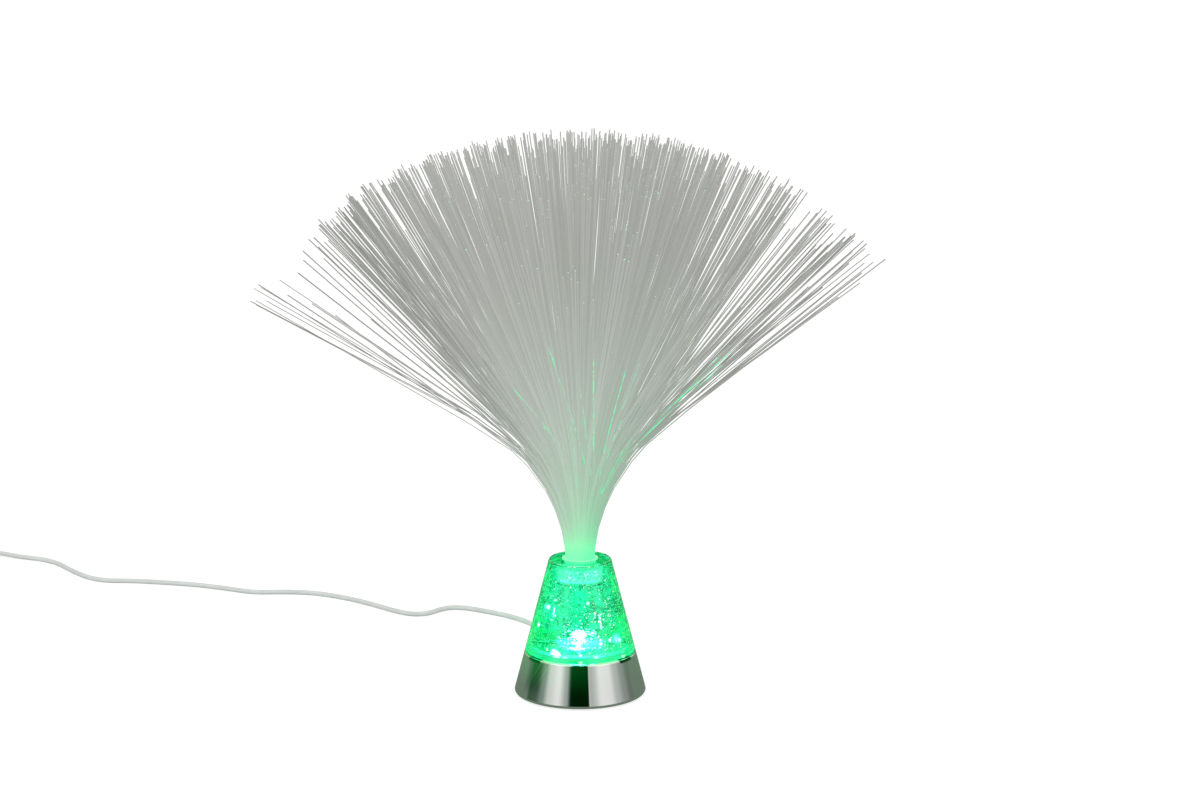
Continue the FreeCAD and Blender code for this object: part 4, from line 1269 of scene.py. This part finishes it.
def route(pitch):
    """Control points of the whole cord: route, coil and tail. Turns lie a pitch apart."""
    points = [Vector(p) for p in CORD_ROUTE]
    heading = points[-1] - points[-2]
    heading.z = 0
    heading.normalize()
    touch = points[-1] + heading * COIL_STUB
    outer = COIL_R + pitch
    center = touch + Vector((-heading.y, heading.x, 0)) * outer
    first = math.atan2(touch.y - center.y, touch.x - center.x)
    leaves = math.pi
    # the last turn ends where the cord leaves
    swing = (len(COIL_TURNS) - 1) * 2 * math.pi + (leaves - first)
    count = round(swing / (2 * math.pi) * COIL_STEPS)
    # a quadratic curve cuts inside the corners of its control points
    cut = math.cos(math.pi / COIL_STEPS) ** 0.5
    for i in range(count + 1):
        gone = swing * i / count
        turn, share = divmod(gone / (2 * math.pi), 1.0)
        here = Vector(COIL_TURNS[int(turn)])
        following = Vector(COIL_TURNS[min(int(turn) + 1, len(COIL_TURNS) - 1)])
        over = max(0.0, (share - 1 + COIL_SHIFT) / COIL_SHIFT)
        column, layer = here.lerp(following, over)
        reach = (COIL_R + column * pitch) / cut
        points.append(center + toward(first + gone) * reach + Vector((0, 0, layer * pitch)))
    side = toward(leaves)
    tail = center + side * outer + Vector((-side.y, side.x, 0)) * COIL_STUB
    points.append(tail + Vector((0, 0, 0.4 * pitch)))
    for step in TAIL_STEPS:
        tail = tail + Vector(step)
        points.append(tail)
    return points


class LAMP_OT_cord(bpy.types.Operator):
    """Lays the cord, its coil and its plug"""

    bl_idname = "lamp.cord"
    bl_label = "Cord"

    def execute(self, context):
        settings = context.scene.lamp_cord
        color = tuple(settings.sheath)
        sheath = moulded("cord_pvc", color, 0.42, 0.5 * MM, 0.01 * MM)
        # the vessel's light on its first stretch
        x, y, _ = sheath.parts(sheath.point())
        lit = (x * x + y * y).fall(0.12 ** 2, 0.19 ** 2)
        sheath.glow(sheath.blend(BLACK, (0.0, 0.10, 0.04), lit))
        points = route(settings.diameter)
        cord = nurbs("power_cord_line", points, settings.diameter / 2, sheath)
        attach(cord, "base")
        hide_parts("power_cord", "cord_coil", "cord_end")
        wear(sheath, "cord_inner_end", "cord_grommet")
        plug(color, points[-1], (points[-1] - points[-2]).normalized())
        wear(moulded("tie_white", (0.78, 0.78, 0.76), 0.4), "cord_ties")
        wear(moulded("clamp_black", (0.03, 0.03, 0.03), 0.5), "cord_clamp")
        wear(moulded("lead_red", (0.55, 0.02, 0.02), 0.4), "lead_red")
        wear(moulded("lead_black", (0.02, 0.02, 0.02), 0.4), "lead_black")
        return {"FINISHED"}


# ---------------------------------------------------------------- panel and registration


class LAMP_PT_panel(bpy.types.Panel):
    """Lists the lamp's groups and their settings"""

    bl_idname = "LAMP_PT_panel"
    bl_label = "Fiber Optic Lamp"
    bl_space_type = "VIEW_3D"
    bl_region_type = "UI"
    bl_category = "Lamp"

    def draw(self, context):
        for operator, name, _ in STEPS:
            box = self.layout.box()
            box.operator(operator.bl_idname)
            settings = getattr(context.scene, name)
            for value in settings.__annotations__:
                box.prop(settings, value)


# Operators in their order, each with the name and class of its settings
STEPS = [
    (LAMP_OT_stage, "lamp_stage", LampStageSettings),
    (LAMP_OT_cord, "lamp_cord", LampCordSettings),
    (LAMP_OT_base, "lamp_base", LampBaseSettings),
    (LAMP_OT_vessel, "lamp_vessel", LampVesselSettings),
    (LAMP_OT_glitter, "lamp_glitter", LampGlitterSettings),
    (LAMP_OT_spray, "lamp_spray", LampSpraySettings),
]


def register():
    for operator, name, group in STEPS:
        bpy.utils.register_class(group)
        setattr(bpy.types.Scene, name, PointerProperty(type=group))
        bpy.utils.register_class(operator)
    bpy.utils.register_class(LAMP_PT_panel)


def unregister():
    bpy.utils.unregister_class(LAMP_PT_panel)
    for operator, name, group in reversed(STEPS):
        bpy.utils.unregister_class(operator)
        delattr(bpy.types.Scene, name)
        bpy.utils.unregister_class(group)


def main():
    register()
    bpy.ops.lamp.stage()
    bpy.ops.lamp.cord()
    bpy.ops.lamp.base()
    bpy.ops.lamp.vessel()
    bpy.ops.lamp.glitter()
    bpy.ops.lamp.spray()


if __name__ == "__main__":
    main()
